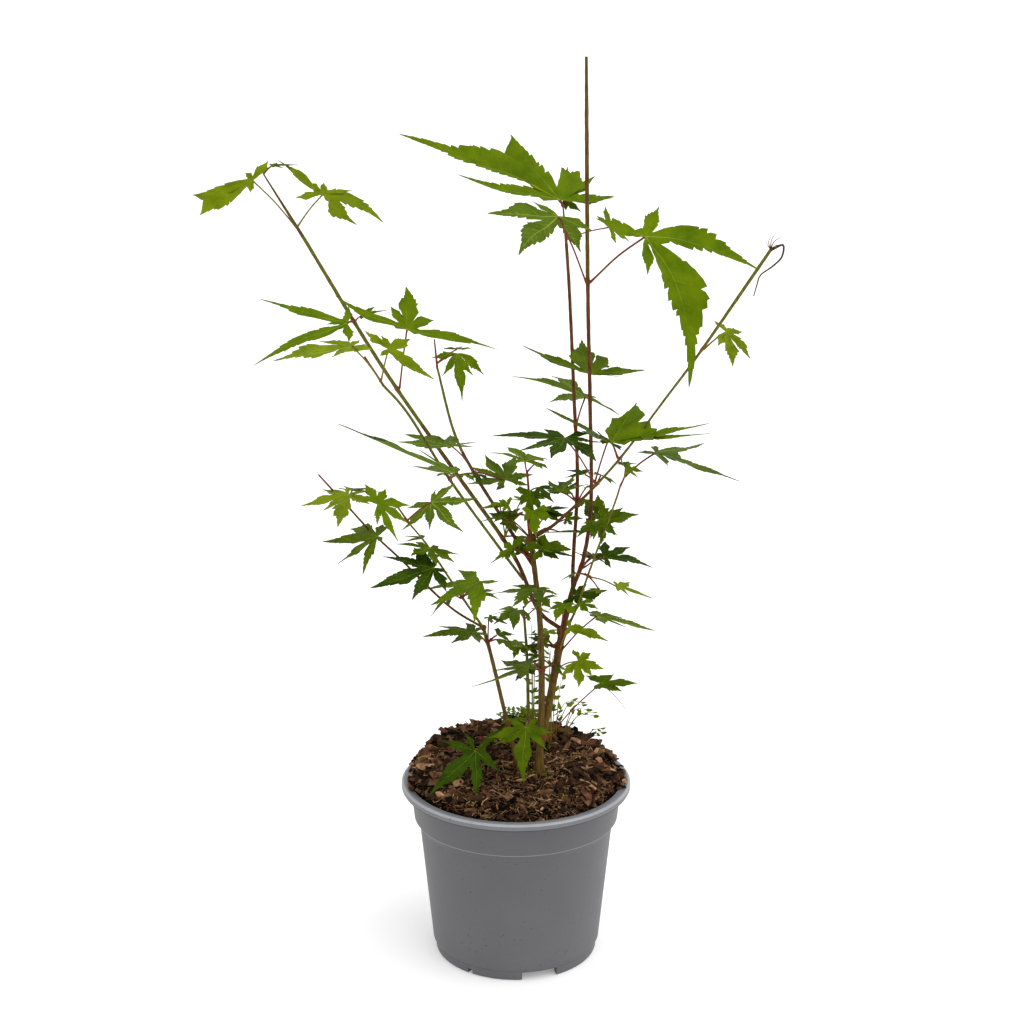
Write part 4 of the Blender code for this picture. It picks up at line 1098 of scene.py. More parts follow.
@dataclass
class SoilBed:
    """The bark mix that fills the pot: a rough mound, highest at the back."""

    pot: Pot
    middle: float = 0.1610
    slope: float = 0.10
    tilt: float = -0.03
    edge: float = 0.1482
    edge_slope: float = 0.044
    shoulder: float = 0.073
    heaped: float = 0.0028
    heap_start: float = 0.045
    heap_run: float = 0.05
    gap: float = 0.0008
    low_gap: float = 0.0030
    cells: int = 150
    smooth: float = 60.0
    reliefs: tuple[Relief, ...] = (Relief(Grain.CLOUDS, 0.011, 0.0035, "Z", 0.45),
                                   Relief(Grain.CELLS, 0.0040, 0.0030, "Z", 0.45),
                                   Relief(Grain.CLOUDS, 0.0022, 0.0016, "Z", 0.45))

    @property
    def brim(self) -> float:
        """Return the radius inside the pot's rim."""
        return self.pot.inner_radius(self.pot.height)

    def height(self, x: Array | float, y: Array | float) -> Array:
        """Work out the height of the smooth surface.

        Args:
            x: Places to the right.
            y: Places to the back.

        Returns:
            The heights.
        """
        share = np.clip((np.hypot(x, y) - self.shoulder) / (self.brim - self.shoulder), 0.0, 1.0)
        share = eased(share)
        mound = self.middle + self.slope * np.asarray(y) + self.tilt * np.asarray(x)
        back = np.clip((np.asarray(y) + self.heap_start) / self.heap_run, 0.0, 1.0)
        edge = self.edge + self.edge_slope * np.asarray(y) + back * self.heaped
        return mound * (1 - share) + edge * share

    def surface(self) -> Piece:
        """Make the surface from a grid whose corners are taken off.

        Returns:
            The round sheet.
        """
        radius = self.brim - self.gap
        bpy.ops.mesh.primitive_grid_add(x_subdivisions=self.cells, y_subdivisions=self.cells,
                                        size=2.04 * radius, location=(0.0, 0.0, 0.0))
        bed = bpy.context.object
        bed.name = "soil_bed"
        shell = bmesh.new()
        shell.from_mesh(bed.data)
        outside = [point for point in shell.verts if point.co.xy.length > radius + 0.0006]
        bmesh.ops.delete(shell, geom=outside, context="VERTS")
        for point in shell.verts:
            if point.is_boundary:
                point.co.xy = point.co.xy.normalized() * radius
            point.co.z = float(self.height(point.co.x, point.co.y))
        shell.to_mesh(bed.data)
        shell.free()
        return bed

    def close(self) -> None:
        """Draw the surface's rim down the pot's wall and close it on the pot's floor."""
        bpy.ops.object.mode_set(mode="EDIT")
        bpy.ops.mesh.select_mode(type="VERT")
        bpy.ops.mesh.select_all(action="DESELECT")
        bpy.ops.mesh.select_non_manifold()
        radius = self.brim - self.gap
        for height in (self.pot.step_height, self.pot.plate_top + 0.0004):
            bpy.ops.mesh.extrude_region_move()
            bpy.ops.transform.resize(value=(1.0, 1.0, 0.0), center_override=(0.0, 0.0, height))
            after = self.pot.inner_radius(height) - self.low_gap
            bpy.ops.transform.resize(value=(after / radius, after / radius, 1.0),
                                     center_override=(0.0, 0.0, height))
            radius = after
        bpy.ops.mesh.edge_face_add()
        bpy.ops.mesh.select_all(action="SELECT")
        bpy.ops.mesh.normals_make_consistent(inside=False)
        bpy.ops.object.mode_set(mode="OBJECT")

    def build(self, paint: Paintbox) -> None:
        """Shape, roughen, close, dress and seat the bed.

        Args:
            paint: The materials.
        """
        deselect()
        bed = self.surface()
        activate(bed)
        for relief in self.reliefs:
            relief.raise_on(bed)
        self.close()
        bpy.ops.object.shade_smooth_by_angle(angle=math.radians(self.smooth))
        paint.dress(bed, names_of([Chip.HUMUS]))
        settle(bed, "bark_mix", "soil")


class Sort(Enum):
    """Sorts of small piece that are strewn all over the soil."""

    CRUMB = "crumb"
    SLAB = "slab"
    FIBRE = "fibre"


@dataclass
class Mulch:
    """Bark chips, splinters, fibres and crumbs strewn over the soil by a seeded rule.

    Breadths are shares of the length, arcs are in degrees, and a sway is how far a chip's tilt
    and lean stray, in radians. The larger chips are in millimetres and degrees.
    """

    bed: SoilBed
    seed: int = 21
    strewn: tuple[tuple[Sort, int, Span], ...] = (
        (Sort.CRUMB, 2800, (0.0, 0.0014)), (Sort.SLAB, 1500, (0.0004, 0.0036)),
        (Sort.FIBRE, 3400, (0.0008, 0.0034)))
    reach: float = 0.0848
    margin: float = 0.0014
    sway: Span = (0.55, 0.30)
    crumb_size: Span = (0.0015, 0.0042)
    slab_least: float = 0.004
    slab_more: float = 0.013
    slab_breadth: Span = (0.24, 0.6)
    slab_thickness: Span = (0.0008, 0.0022)
    corners: int = 8
    fibre_length: Span = (0.005, 0.014)
    fibre_radius: Span = (0.0002, 0.00055)
    brim_count: int = 210
    brim_arc: Span = (-16.0, 204.0)
    brim_length: Span = (0.006, 0.015)
    brim_breadth: Span = (0.3, 0.6)
    brim_thickness: Span = (0.001, 0.0024)
    brim_depth: float = 0.006
    brim_sway: Span = (0.35, 0.12)
    brim_over: Span = (0.0006, 0.0030)
    brim_least: float = 0.0016
    block_count: int = 120
    block_arc: Span = (-38.0, 218.0)
    block_reach: Span = (0.60, 0.97)
    block_length: Span = (0.010, 0.020)
    block_breadth: Span = (0.35, 0.65)
    block_thickness: Span = (0.002, 0.004)
    block_rise: float = 0.0030
    block_sway: Span = (0.6, 0.35)
    large_scale: float = 1.12
    large_rise: float = 0.0048
    large_lean: float = 0.15
    sharp: float = 35.0
    kinds: Odds = ((Chip.HUMUS, 0.32), (Chip.DARK, 0.36), (Chip.BROWN, 0.19), (Chip.RED, 0.07),
                   (Chip.PALE, 0.035), (Chip.STRAW, 0.025))
    fibre_kinds: Odds = ((Chip.STRAW, 0.15), (Chip.PALE, 0.10), (Chip.BROWN, 0.40),
                         (Chip.DARK, 0.35))
    block_kinds: Odds = ((Chip.DARK, 0.55), (Chip.HUMUS, 0.15), (Chip.BROWN, 0.22),
                         (Chip.RED, 0.08))
    # Each larger chip: its place, length, breadth, thickness, heading, tilt and kind.
    large: tuple[tuple[float | Chip, ...], ...] = (
        (57, -50, 17, 12, 3.0, 100, 40, Chip.RED), (62, -42, 14, 4, 2.0, 110, 55, Chip.PALE),
        (69, 16, 13, 9, 4.0, 20, 25, Chip.PALE), (70, 4, 11, 5, 3.0, 95, 50, Chip.PALE),
        (76, 22, 17, 11, 3.5, 120, 30, Chip.RED), (72, 40, 12, 7, 3.0, 60, 35, Chip.DARK),
        (-74, -14, 14, 6, 3.0, 10, 15, Chip.PALE), (-78, -2, 12, 5, 3.0, 160, 20, Chip.BROWN),
        (-46, -40, 11, 6, 3.0, 60, 30, Chip.PALE), (-52, 66, 15, 6, 3.0, 20, 20, Chip.PALE),
        (-44, 70, 13, 6, 3.5, 35, 40, Chip.BROWN), (-64, 48, 16, 9, 4.0, 15, 30, Chip.DARK),
        (-70, 36, 14, 8, 3.0, 40, 25, Chip.RED), (-60, 27, 15, 12, 4.0, 80, 35, Chip.DARK),
        (-76, 20, 15, 7, 3.0, 70, 30, Chip.BROWN), (-62, -28, 12, 6, 3.0, 150, 20, Chip.BROWN),
        (50, 38, 16, 4, 2.5, 120, 25, Chip.PALE), (46, 50, 12, 6, 3.0, 60, 30, Chip.BROWN),
        (66, 58, 10, 6, 3.0, 30, 45, Chip.DARK), (24, -52, 12, 5, 2.5, 30, 15, Chip.BROWN),
        (-10, -62, 13, 5, 2.5, 160, 15, Chip.BROWN), (-30, -64, 14, 5, 2.5, 15, 20, Chip.DARK),
        (4, -34, 11, 2, 1.2, 35, 25, Chip.STRAW), (63, -34, 12, 2, 1.2, 110, 30, Chip.STRAW),
        (36, -40, 12, 6, 2.5, 80, 25, Chip.DARK), (-20, 20, 14, 7, 3.0, 20, 20, Chip.DARK))

    def __post_init__(self) -> None:
        """Start the heap and the rule."""
        self.heap = Heap("bark_chips", names_of(Chip))
        self.rule = np.random.default_rng(self.seed)

    def pick(self, odds: Odds) -> Chip:
        """Draw a kind of chip."""
        shares = np.array([share for _, share in odds])
        return odds[int(self.rule.choice(len(odds), p=shares / shares.sum()))][0]

    def slab(self, length: float, breadth: float, thickness: float) -> Shape:
        """Shape one bent flake with chipped corners, about its own middle.

        Args:
            length: Its length.
            breadth: Its breadth.
            thickness: Its thickness.

        Returns:
            Its points and faces.
        """
        draw = self.rule.uniform
        count = self.corners
        turn = np.linspace(0.0, FULL_TURN, count, endpoint=False)
        turn = turn + draw(-0.28, 0.28, count)
        reach = draw(0.74, 1.18, count)
        foot = np.stack([np.cos(turn) * reach * length / 2, np.sin(turn) * reach * breadth / 2,
                         draw(-0.2, 0.2, count) * thickness - thickness / 2], axis=1)
        top = foot * (0.90, 0.82, 0.0) + np.stack([draw(-0.05, 0.05, count) * length,
                                                   draw(-0.06, 0.06, count) * breadth,
                                                   thickness * draw(0.2, 0.7, count)],
                                                  axis=1)
        points = np.concatenate([foot, top])
        points[:, 2] += draw(-0.9, 0.9) * points[:, 1] ** 2 / breadth
        points[:, 2] += draw(-0.5, 0.5) * points[:, 0] ** 2 / length
        ends = [tuple(range(count))[::-1], tuple(range(count, 2 * count))]
        return points, ends + ring_faces(2, count)

    def flake(self, length: float, breadth: Span, thickness: Span, coarse: float = 1.0) -> Shape:
        """Shape one bent flake of a breadth and a thickness drawn by chance."""
        return self.slab(length, length * self.rule.uniform(*breadth),
                         self.rule.uniform(*thickness) * coarse)

    def crumb(self, size: float) -> Shape:
        """Shape one small lump."""
        lump = Lump()
        points = lump.corners * self.rule.uniform(0.3, 0.62, (6, 3)) * size
        return points + self.rule.uniform(-0.12, 0.12, (6, 3)) * size, list(lump.faces)

    def fibre(self, length: float, radius: float) -> Shape:
        """Shape one bent fibre.

        Args:
            length: Its length.
            radius: Its greatest radius.

        Returns:
            Its points and faces.
        """
        bend = self.rule.uniform(-0.25, 0.25, (3, 2)) * length
        path = [Vector((-length / 2, 0.0, 0.0)),
                Vector((-length / 6, bend[0, 0], abs(bend[0, 1]) * 0.4)),
                Vector((length / 6, bend[1, 0], abs(bend[1, 1]) * 0.4)),
                Vector((length / 2, bend[2, 0], 0.0))]
        return sweep(path, [radius * 0.6, radius, radius * 0.9, radius * 0.3], 3)

    def leans(self, sway: Span) -> Span:
        """Draw a tilt and a lean, each with its own spread."""
        return self.rule.normal(0.0, sway[0]), self.rule.normal(0.0, sway[1])

    def lay(self, points: Array, place: Span, rise: float, heading: float, tilt: float,
            lean: float) -> Array:
        """Turn a shape and set it down on the soil.

        Args:
            points: The shape's points.
            place: Its place across the soil.
            rise: How high over the soil it lies.
            heading: Its turn about the upright axis.
            tilt: Its turn about its own length.
            lean: How far its length leans out of the level.

        Returns:
            The points.
        """
        turn = (Matrix.Rotation(heading, 3, "Z") @ Matrix.Rotation(lean, 3, "Y")
                @ Matrix.Rotation(tilt, 3, "X"))
        return points @ np.array(turn).T + (*place, float(self.bed.height(*place)) + rise)

    def loose(self, sort: Sort, radius: float, x: float, y: float) -> Shape:
        """Shape one small piece; a flake is coarser at the rim and back and finer in front.

        Args:
            sort: Its sort.
            radius: How far it lies from the pot's middle.
            x: Its place to the right.
            y: Its place to the back.

        Returns:
            Its points and faces.
        """
        draw = self.rule.uniform
        if sort is Sort.CRUMB:
            return self.crumb(draw(*self.crumb_size))
        if sort is Sort.FIBRE:
            return self.fibre(draw(*self.fibre_length), draw(*self.fibre_radius))
        outward = min(1.0, max(0.0, (radius - 0.035) / 0.05))
        coarse = 0.75 + 0.55 * outward + 0.2 * max(0.0, y / 0.09)
        fine = 0.62 if y < -0.018 and abs(x) < 0.055 else 1.0
        length = self.slab_least + self.slab_more * draw(0.0, 1.0) ** 1.8
        return self.flake(length * coarse * fine, self.slab_breadth, self.slab_thickness, coarse)

    def strew(self) -> None:
        """Add the crumbs, flakes and fibres that lie all over the soil."""
        draw = self.rule.uniform
        inside = self.bed.brim - self.margin
        for sort, count, rises in self.strewn:
            for _ in range(count):
                radius = self.reach * math.sqrt(draw(0.0, 1.0))
                angle = draw(0.0, FULL_TURN)
                x, y = radius * math.cos(angle), radius * math.sin(angle)
                kind = self.pick(self.kinds)
                points, faces = self.loose(sort, radius, x, y)
                if sort is Sort.FIBRE:
                    kind = self.pick(self.fibre_kinds)
                rise = draw(*rises)
                spread = float(np.abs(points[:, :2]).max()) * 0.8
                if radius + spread > inside:
                    shrink = max(0.0, inside - spread) / radius
                    x, y = x * shrink, y * shrink
                points = self.lay(points, (x, y), rise, draw(0.0, FULL_TURN),
                                  *self.leans(self.sway))
                self.heap.add((points, faces), kind)

    def heap_brim(self) -> None:
        """Add the flakes that lie over the pot's rim, all round but at the front."""
        draw = self.rule.uniform
        pot = self.bed.pot
        for _ in range(self.brim_count):
            angle = math.radians(draw(*self.brim_arc))
            length = draw(*self.brim_length)
            points, faces = self.flake(length, self.brim_breadth, self.brim_thickness)
            inward = draw(0.0, self.brim_depth)
            radius = pot.rim_radius - 0.0008 - length * 0.5 - inward
            heading = angle + math.pi / 2 + self.rule.normal(0.0, 0.6)
            place = (radius * math.cos(angle), radius * math.sin(angle))
            points = self.lay(points, place, 0.0, heading, *self.leans(self.brim_sway))
            over = pot.height + draw(*self.brim_over) - float(self.bed.height(*place))
            points[:, 2] += max(over, self.brim_least)
            self.heap.add((points, faces), self.pick(self.kinds))

    def set_blocks(self) -> None:
        """Add the thick chips near the rim, all round but at the front."""
        draw = self.rule.uniform
        for _ in range(self.block_count):
            radius = self.reach * draw(*self.block_reach)
            angle = math.radians(draw(*self.block_arc))
            length = draw(*self.block_length)
            points, faces = self.flake(length, self.block_breadth, self.block_thickness)
            radius = min(radius, self.reach - length * 0.35)
            place = (radius * math.cos(angle), radius * math.sin(angle))
            points = self.lay(points, place, self.block_rise, draw(0.0, FULL_TURN),
                              *self.leans(self.block_sway))
            self.heap.add((points, faces), self.pick(self.block_kinds))

    def set_large(self) -> None:
        """Add the larger chips."""
        for x, y, length, breadth, thickness, heading, tilt, kind in self.large:
            points, faces = self.slab(length * self.large_scale * MM,
                                      breadth * self.large_scale * MM, thickness * MM)
            points = self.lay(points, (x * MM, y * MM), self.large_rise, math.radians(heading),
                              math.radians(tilt), self.large_lean)
            self.heap.add((points, faces), kind)

    def build(self, paint: Paintbox) -> None:
        """Strew, dress and seat the mulch.

        Args:
            paint: The materials.
        """
        self.strew()
        self.heap_brim()
        self.set_blocks()
        self.set_large()
        settle(self.heap.piece(paint, self.sharp), "bark_mix")


# ---- stems


@dataclass
class Run:
    """A limb's middle line and its radius at each point, before any swelling."""

    path: list[Vector]
    radii: list[float]

    def at_height(self, height: float) -> tuple[Vector, Vector, float]:
        """Find where the run passes a height.

        Args:
            height: The height in metres.

        Returns:
            The place, direction and radius there.
        """
        for i, (start, stop) in enumerate(zip(self.path, self.path[1:])):
            if start.z <= height <= stop.z:
                share = (height - start.z) / (stop.z - start.z)
                radius = self.radii[i] * (1 - share) + self.radii[i + 1] * share
                return start.lerp(stop, share), (stop - start).normalized(), radius
        raise ValueError(f"the limb does not pass {height}")


@dataclass
class Stems:
    """All the stems and boughs, with their flares, knobs, swollen nodes and bark relief.

    A glow is how strong the bark's blush is round a place, and how far it reaches.
    """

    bed: SoilBed
    step: float = 0.0022
    sunk: float = 0.0011
    deeper: float = 0.003
    flare_height: float = 0.022
    swelling: float = 0.26
    ring: float = 0.0021
    knob_shares: tuple[float, ...] = (0.3, 0.55, 0.75, 0.9, 0.98)
    node_glow: Span = (0.8, 0.006)
    knob_glow: Span = (0.6, 0.008)
    root_glow: Span = (0.4, 0.010)
    full_relief: float = 0.0022
    reliefs: tuple[Relief, ...] = (Relief(Grain.CLOUDS, 0.006, 0.00055),
                                   Relief(Grain.CLOUDS, 0.0018, 0.00022))
    runs: dict[str, Run] = field(default_factory=dict)

    def trace(self, limb: Limb) -> Run:
        """Work out a limb's run, its foot set on the soil where it has one.

        Args:
            limb: The limb's plan.

        Returns:
            The run.
        """
        points = [Vector(point) * MM for point in limb.path]
        if limb.foot:
            points[0].z = float(self.bed.height(points[0].x, points[0].y)) - self.sunk
        path = smooth_path(points, self.step)
        pieces = [(stop - start).length for start, stop in zip(path, path[1:])]
        lengths = np.concatenate([[0.0], np.cumsum(pieces)])
        stops = np.linspace(0.0, 1.0, len(limb.radii))
        radii = np.interp(lengths / lengths[-1], stops, limb.radii) * MM
        rise = np.array([point.z for point in path]) - path[0].z
        rise = np.clip(1.0 - rise / self.flare_height, 0.0, 1.0)
        return Run(path, list(radii * (1.0 + limb.flare * rise * rise)))

    def swell(self, limb: Limb, run: Run,
              heights: Sequence[float]) -> tuple[list[Vector], Array, Array]:
        """Give a limb its nodes and its knob.

        Args:
            limb: The limb's plan.
            run: Its plain run.
            heights: The heights of its nodes, in metres.

        Returns:
            Its drawn path, radii and blush.
        """
        path = list(run.path)
        radii = list(run.radii)
        ahead = (path[-1] - path[-2]).normalized()
        knob = limb.knob * MM
        if limb.foot:
            path.insert(0, path[0] - Vector((0.0, 0.0, self.deeper)))
            radii.insert(0, radii[0])
        for share in self.knob_shares if knob else ():
            path.append(run.path[-1] + ahead * knob * share)
            radii.append(knob * math.sqrt(1.0 - share * share))
        spots = rows_of(path)
        size = np.array(radii)
        blush = np.zeros(len(path))

        def glow(away: Array, strength: float, reach: float) -> Array:
            """Return the blush with a glow round one place added."""
            return np.maximum(blush, strength * np.exp(-(away / reach) ** 2))

        for height in heights:
            away = np.linalg.norm(spots - np.array(run.at_height(height)[0]), axis=1)
            size *= 1.0 + self.swelling * np.exp(-(away / self.ring) ** 2)
            blush = glow(away, *self.node_glow)
        if knob:
            away = np.linalg.norm(spots - np.array(run.path[-1]), axis=1)
            ball = np.sqrt(np.clip(knob ** 2 - away ** 2, 0.0, None))
            size = np.maximum(size, ball * 0.96)
            blush = glow(away, *self.knob_glow)
        if not limb.foot:
            blush = glow(np.linalg.norm(spots - spots[0], axis=1), *self.root_glow)
        return path, size, blush

    def tube(self, name: str, path: Sequence[Vector], radii: Array, blush: Array) -> Piece:
        """Draw a tube with bark relief, whose points carry the blush of the nearest ring.

        Args:
            name: The piece's name.
            path: Its middle line.
            radii: Its radius at each point.
            blush: Its blush at each point.

        Returns:
            The tube, as a mesh.
        """
        curve = bpy.data.curves.new(name, "CURVE")
        curve.dimensions = "3D"
        curve.bevel_depth = 1.0
        curve.bevel_resolution = 6
        curve.use_fill_caps = True
        spline = curve.splines.new("POLY")
        spline.points.add(len(path) - 1)
        for point, place, radius in zip(spline.points, path, radii):
            point.co = (*place, 1.0)
            point.radius = radius
        guide = bpy.data.objects.new(name, curve)
        bpy.context.scene.collection.objects.link(guide)
        activate(guide)
        bpy.ops.object.convert(target="MESH")
        tube = bpy.context.object
        bpy.ops.object.mode_set(mode="EDIT")
        bpy.ops.mesh.select_all(action="SELECT")
        bpy.ops.mesh.remove_doubles(threshold=0.000002)
        bpy.ops.mesh.normals_make_consistent(inside=False)
        bpy.ops.object.mode_set(mode="OBJECT")
        for relief in self.reliefs:
            relief.raise_on(tube, min(1.0, float(np.median(radii)) / self.full_relief))
        points = np.zeros(len(tube.data.vertices) * 3)
        tube.data.vertices.foreach_get("co", points)
        spots = rows_of(path)
        nearest = [int(((spots - point) ** 2).sum(axis=1).argmin())
                   for point in points.reshape(-1, 3)]
        layer = tube.data.attributes.new("blush", "FLOAT", "POINT")
        layer.data.foreach_set("value", blush[nearest].astype(np.float32))
        bpy.ops.object.shade_smooth()
        return tube

    def bark(self, limb: Limb, paint: Paintbox) -> Piece:
        """Build one limb and dress it in its barks.

        Args:
            limb: The limb's plan.
            paint: The materials.

        Returns:
            The limb.
        """
        heights = [mass.height * MM for mass in MASSES if mass.limb == limb.name and mass.height]
        drawn = self.swell(limb, self.runs[limb.name], heights)
        tube = self.tube(limb.name + "_bark", *drawn)
        paint.dress(tube, names_of([limb.bark, *(band.bark for band in limb.bands)]))
        for face in tube.data.polygons:
            for slot, band in enumerate(limb.bands, 1):
                if band.low * MM < face.center.z <= band.high * MM:
                    face.material_index = slot
        return tube

    def build(self, paint: Paintbox) -> None:
        """Build every limb, join the two halves of the trunk, and seat them.

        Args:
            paint: The materials.
        """
        self.runs = {limb.name: self.trace(limb) for limb in LIMBS}
        tubes = {limb: self.bark(limb, paint) for limb in LIMBS}
        halves = [limb for limb in LIMBS if limb.name in TRUNK_HALVES]
        activate(tubes[halves[0]])
        tubes.pop(halves[1]).select_set(True)
        bpy.ops.object.join()
        trunk = bpy.context.object
        trunk.name = "trunk_bark"
        paint.dress(trunk, names_of([Bark.BROWN]))
        for limb, tube in tubes.items():
            settle(tube, limb.bark.value, "trunk" if limb in halves else limb.name)


# ---- leaves


@dataclass
class Mesher:
    """Points stored block by block, each of which gets its number."""

    blocks: list[Array] = field(default_factory=list)
    count: int = 0

    def put(self, block: Array) -> Array:
        """Store points.

        Args:
            block: The points, in any grid.

        Returns:
            Their numbers, in the same grid.
        """
        flat = block.reshape(-1, 3)
        self.blocks.append(flat)
        numbers = np.arange(self.count, self.count + len(flat)).reshape(block.shape[:-1])
        self.count += len(flat)
        return numbers


@dataclass(frozen=True)
class Margin:
    """One lobe's rows: how far out each lies, its teeth, and where the lobe leaves its notches."""

    start: float
    reach: Array
    inset: Array
    lead: Array
    share: Array
    width: Array
    ease: Array


LOBE_STEPS = {3: 52.0, 5: 48.0, 7: 42.0}
LOBE_STOPS = (0.0, 0.15, 0.28, 0.39, 0.49, 0.59, 0.68, 0.78, 0.89, 1.0)
LOBE_WIDTHS = (0.36, 0.70, 0.94, 1.0, 0.91, 0.68, 0.45, 0.27, 0.14, 0.0)
# A tooth's points: the share of its pitch, the share of its depth, and its lead to the tip.
FINE_TOOTH = ((0.10, 1.0, 0.0), (0.45, 0.42, 0.10), (0.86, 0.0, 0.34))
PLAIN_TOOTH = ((0.14, 1.0, 0.0), (0.86, 0.0, 0.30))


@dataclass
class Blade:
    """One leaf blade: toothed lobes pleated from a common palm, on thin two-sided skin."""

    leaf: Leaf
    rule: Rule
    skins: Heap
    veins: Heap
    notch_least: float = 0.0010
    end_notch: float = 0.16
    notch_limit: float = 0.66
    ramp_least: float = 0.0045
    pleat: float = 0.09
    crease: float = -0.03
    skin: float = 0.00042
    inner: int = 3
    fine_from: float = 0.030
    veined: float = 0.031
    ripple: float = 0.0062

    def __post_init__(self) -> None:
        """Work out the blade's axes and the bend and angle of each lobe."""
        heading, droop, roll = (math.radians(angle) for angle in self.leaf.face)
        reach = math.cos(droop)
        along = Vector((math.cos(heading) * reach, math.sin(heading) * reach, -math.sin(droop)))
        level = Vector((-math.sin(heading), math.cos(heading), 0.0))
        left = level * math.cos(roll) + along.cross(level) * math.sin(roll)
        self.axes = np.array([along, left, along.cross(left)])
        self.hub = np.array(self.leaf.hub) * MM
        self.lengths = [size * MM for size in self.leaf.lobes]
        self.count = len(self.lengths)
        lifts = self.leaf.lifts or (0.0,) * self.count
        self.bends = [(self.leaf.sag * size - lift * MM) / size ** 2
                      for size, lift in zip(self.lengths, lifts)]
        self.step = math.radians(LOBE_STEPS[self.count])
        turns = self.leaf.turns or (0.0,) * self.count
        self.angles = [(i - (self.count - 1) / 2) * self.step + math.radians(turn)
                       for i, turn in enumerate(turns)]

    def place(self, flat: Array, bend: float) -> Array:
        """Set points of the blade in the plant's space."""
        points = self.hub + flat @ self.axes
        points[:, 2] -= bend * (flat[:, 0] ** 2 + flat[:, 1] ** 2)
        return points

    def ray(self, angle: float, reach: float, rise: float, bend: float) -> Array:
        """Set points out along a line from the hub."""
        out = reach * np.arange(1, self.inner + 1) / self.inner
        return self.place(np.stack([np.cos(angle) * out, np.sin(angle) * out, rise * out], axis=1),
                          bend)

    def gap_reach(self, number: int) -> float:
        """Work out how far from the hub the gap before a lobe reaches.

        Args:
            number: Which lobe it is.

        Returns:
            The distance.
        """
        before = self.lengths[max(0, number - 1)]
        after = self.lengths[min(self.count - 1, number)]
        if number in (0, self.count):
            return self.end_notch * (after if number == 0 else before) + 0.0008
        webs = self.leaf.webs
        web = webs[number - 1] if isinstance(webs, tuple) else webs
        return web * min(before, after) + self.notch_least

    def gap_angle(self, number: int) -> float:
        """Work out the direction of the gap before a lobe.

        Args:
            number: Which lobe it is.

        Returns:
            The direction in radians.
        """
        if number == 0:
            return self.angles[0] - self.step / 2
        if number == self.count:
            return self.angles[-1] + self.step / 2
        swing = math.radians(self.leaf.swings[number - 1]) if self.leaf.swings else 0.0
        return 0.5 * (self.angles[number - 1] + self.angles[number]) + swing

    def notch(self, number: int) -> float:
        """Return how far out a lobe is still one with its neighbours."""
        return min(self.gap_reach(number), self.gap_reach(number + 1),
                   self.notch_limit * self.lengths[number])

    def seam(self, number: int, reach: float) -> Array:
        """Return the points of the pleat between a lobe and the lobe before it, up to a reach."""
        bend = 0.5 * (self.bends[max(0, number - 1)] + self.bends[min(self.count - 1, number)])
        return self.ray(self.gap_angle(number), reach, self.pleat, bend)

    def half_width(self, share: Array, number: int, side: float = 0.0) -> Array:
        """Work out a lobe's half width on one side, without its teeth.

        Args:
            share: Shares of its length.
            number: Which lobe it is.
            side: 1 for its left, -1 for its right, and 0 for their mean.

        Returns:
            The half widths.
        """
        breadths = self.leaf.breadths
        breadth = breadths[number] if isinstance(breadths, tuple) else breadths
        skew = self.leaf.skews[number] if self.leaf.skews else 0.0
        size = 0.0022 + 0.105 * self.lengths[number]
        return np.interp(share, LOBE_STOPS, LOBE_WIDTHS) * size * breadth * (1 + side * skew)

    def teeth(self, start: float, number: int) -> Margin:
        """Cut a lobe's margin into teeth.

        Args:
            start: Where the lobe leaves its notches.
            number: Which lobe it is.

        Returns:
            The lobe's rows.
        """
        draw = self.rule.uniform
        length = self.lengths[number]
        pitch = min(0.0068, max(0.0023, length / 8.5)) * draw(0.85, 1.15)
        count = max(2, round((0.94 * length - start) / pitch))
        shares = np.linspace(0.0, 1.0, count + 1)
        shares[1:-1] += draw(-0.28, 0.28, count - 1) / count
        stops = start + (0.955 * length - start) * shares ** 0.93
        rows = []
        for low, high in zip(stops, stops[1:]):
            pitch = (high - low) * draw(0.92, 1.08)
            half = float(self.half_width(np.array([0.5 * (low + high) / length]), number)[0])
            depth = min(pitch * draw(0.30, 0.52), half * draw(0.16, 0.40))
            for share, part, ahead in FINE_TOOTH if length > self.fine_from else PLAIN_TOOTH:
                rows.append((low + share * (high - low), depth * part, pitch * ahead))
        reach, inset, lead = np.array(rows).T
        share = reach / length
        ease = eased(np.clip((reach - start) / (0.35 * length), 0.0, 1.0))
        return Margin(start, reach, inset, lead, share, self.half_width(share, number), ease)

    def edge(self, number: int, side: int, margin: Margin) -> tuple[Array, Array]:
        """Draw one side's edge of a lobe.

        Args:
            number: Which lobe it is.
            side: 1 for its left and -1 for its right.
            margin: The lobe's rows.

        Returns:
            The edge's distance from the midrib and how far each row is webbed to the next lobe.
        """
        draw = self.rule.uniform
        length, reach = self.lengths[number], margin.reach
        gap = number if side < 0 else number + 1
        angle = abs(self.gap_angle(gap) - self.angles[number])
        room = reach * math.tan(max(angle, 0.36 * self.step)) * 0.97
        scale = draw(0.88, 1.10)
        scale *= 1.0 + 0.11 * np.sin(draw(0.0, 6.28) + margin.share * draw(7.0, 13.0))
        per = len(FINE_TOOTH if length > self.fine_from else PLAIN_TOOTH)
        uneven = np.repeat(draw(0.1, 1.5, len(reach) // per), per)
        full = self.half_width(margin.share, number, side)
        edge = np.minimum(np.maximum(full * scale - margin.inset * uneven, 0.28 * full), room)
        leave = self.gap_reach(gap) * math.cos(angle)
        if not 0 < gap < self.count or leave <= margin.start:
            return edge, np.zeros(len(reach))
        ramp = max(self.ramp_least, 0.8 * (length - leave) if leave > 0.6 * length else 0.0)
        web = np.clip(1.0 - (reach - leave) / ramp, 0.0, 1.0)
        return np.maximum(edge, web * np.minimum(reach, leave) * math.tan(angle)), web

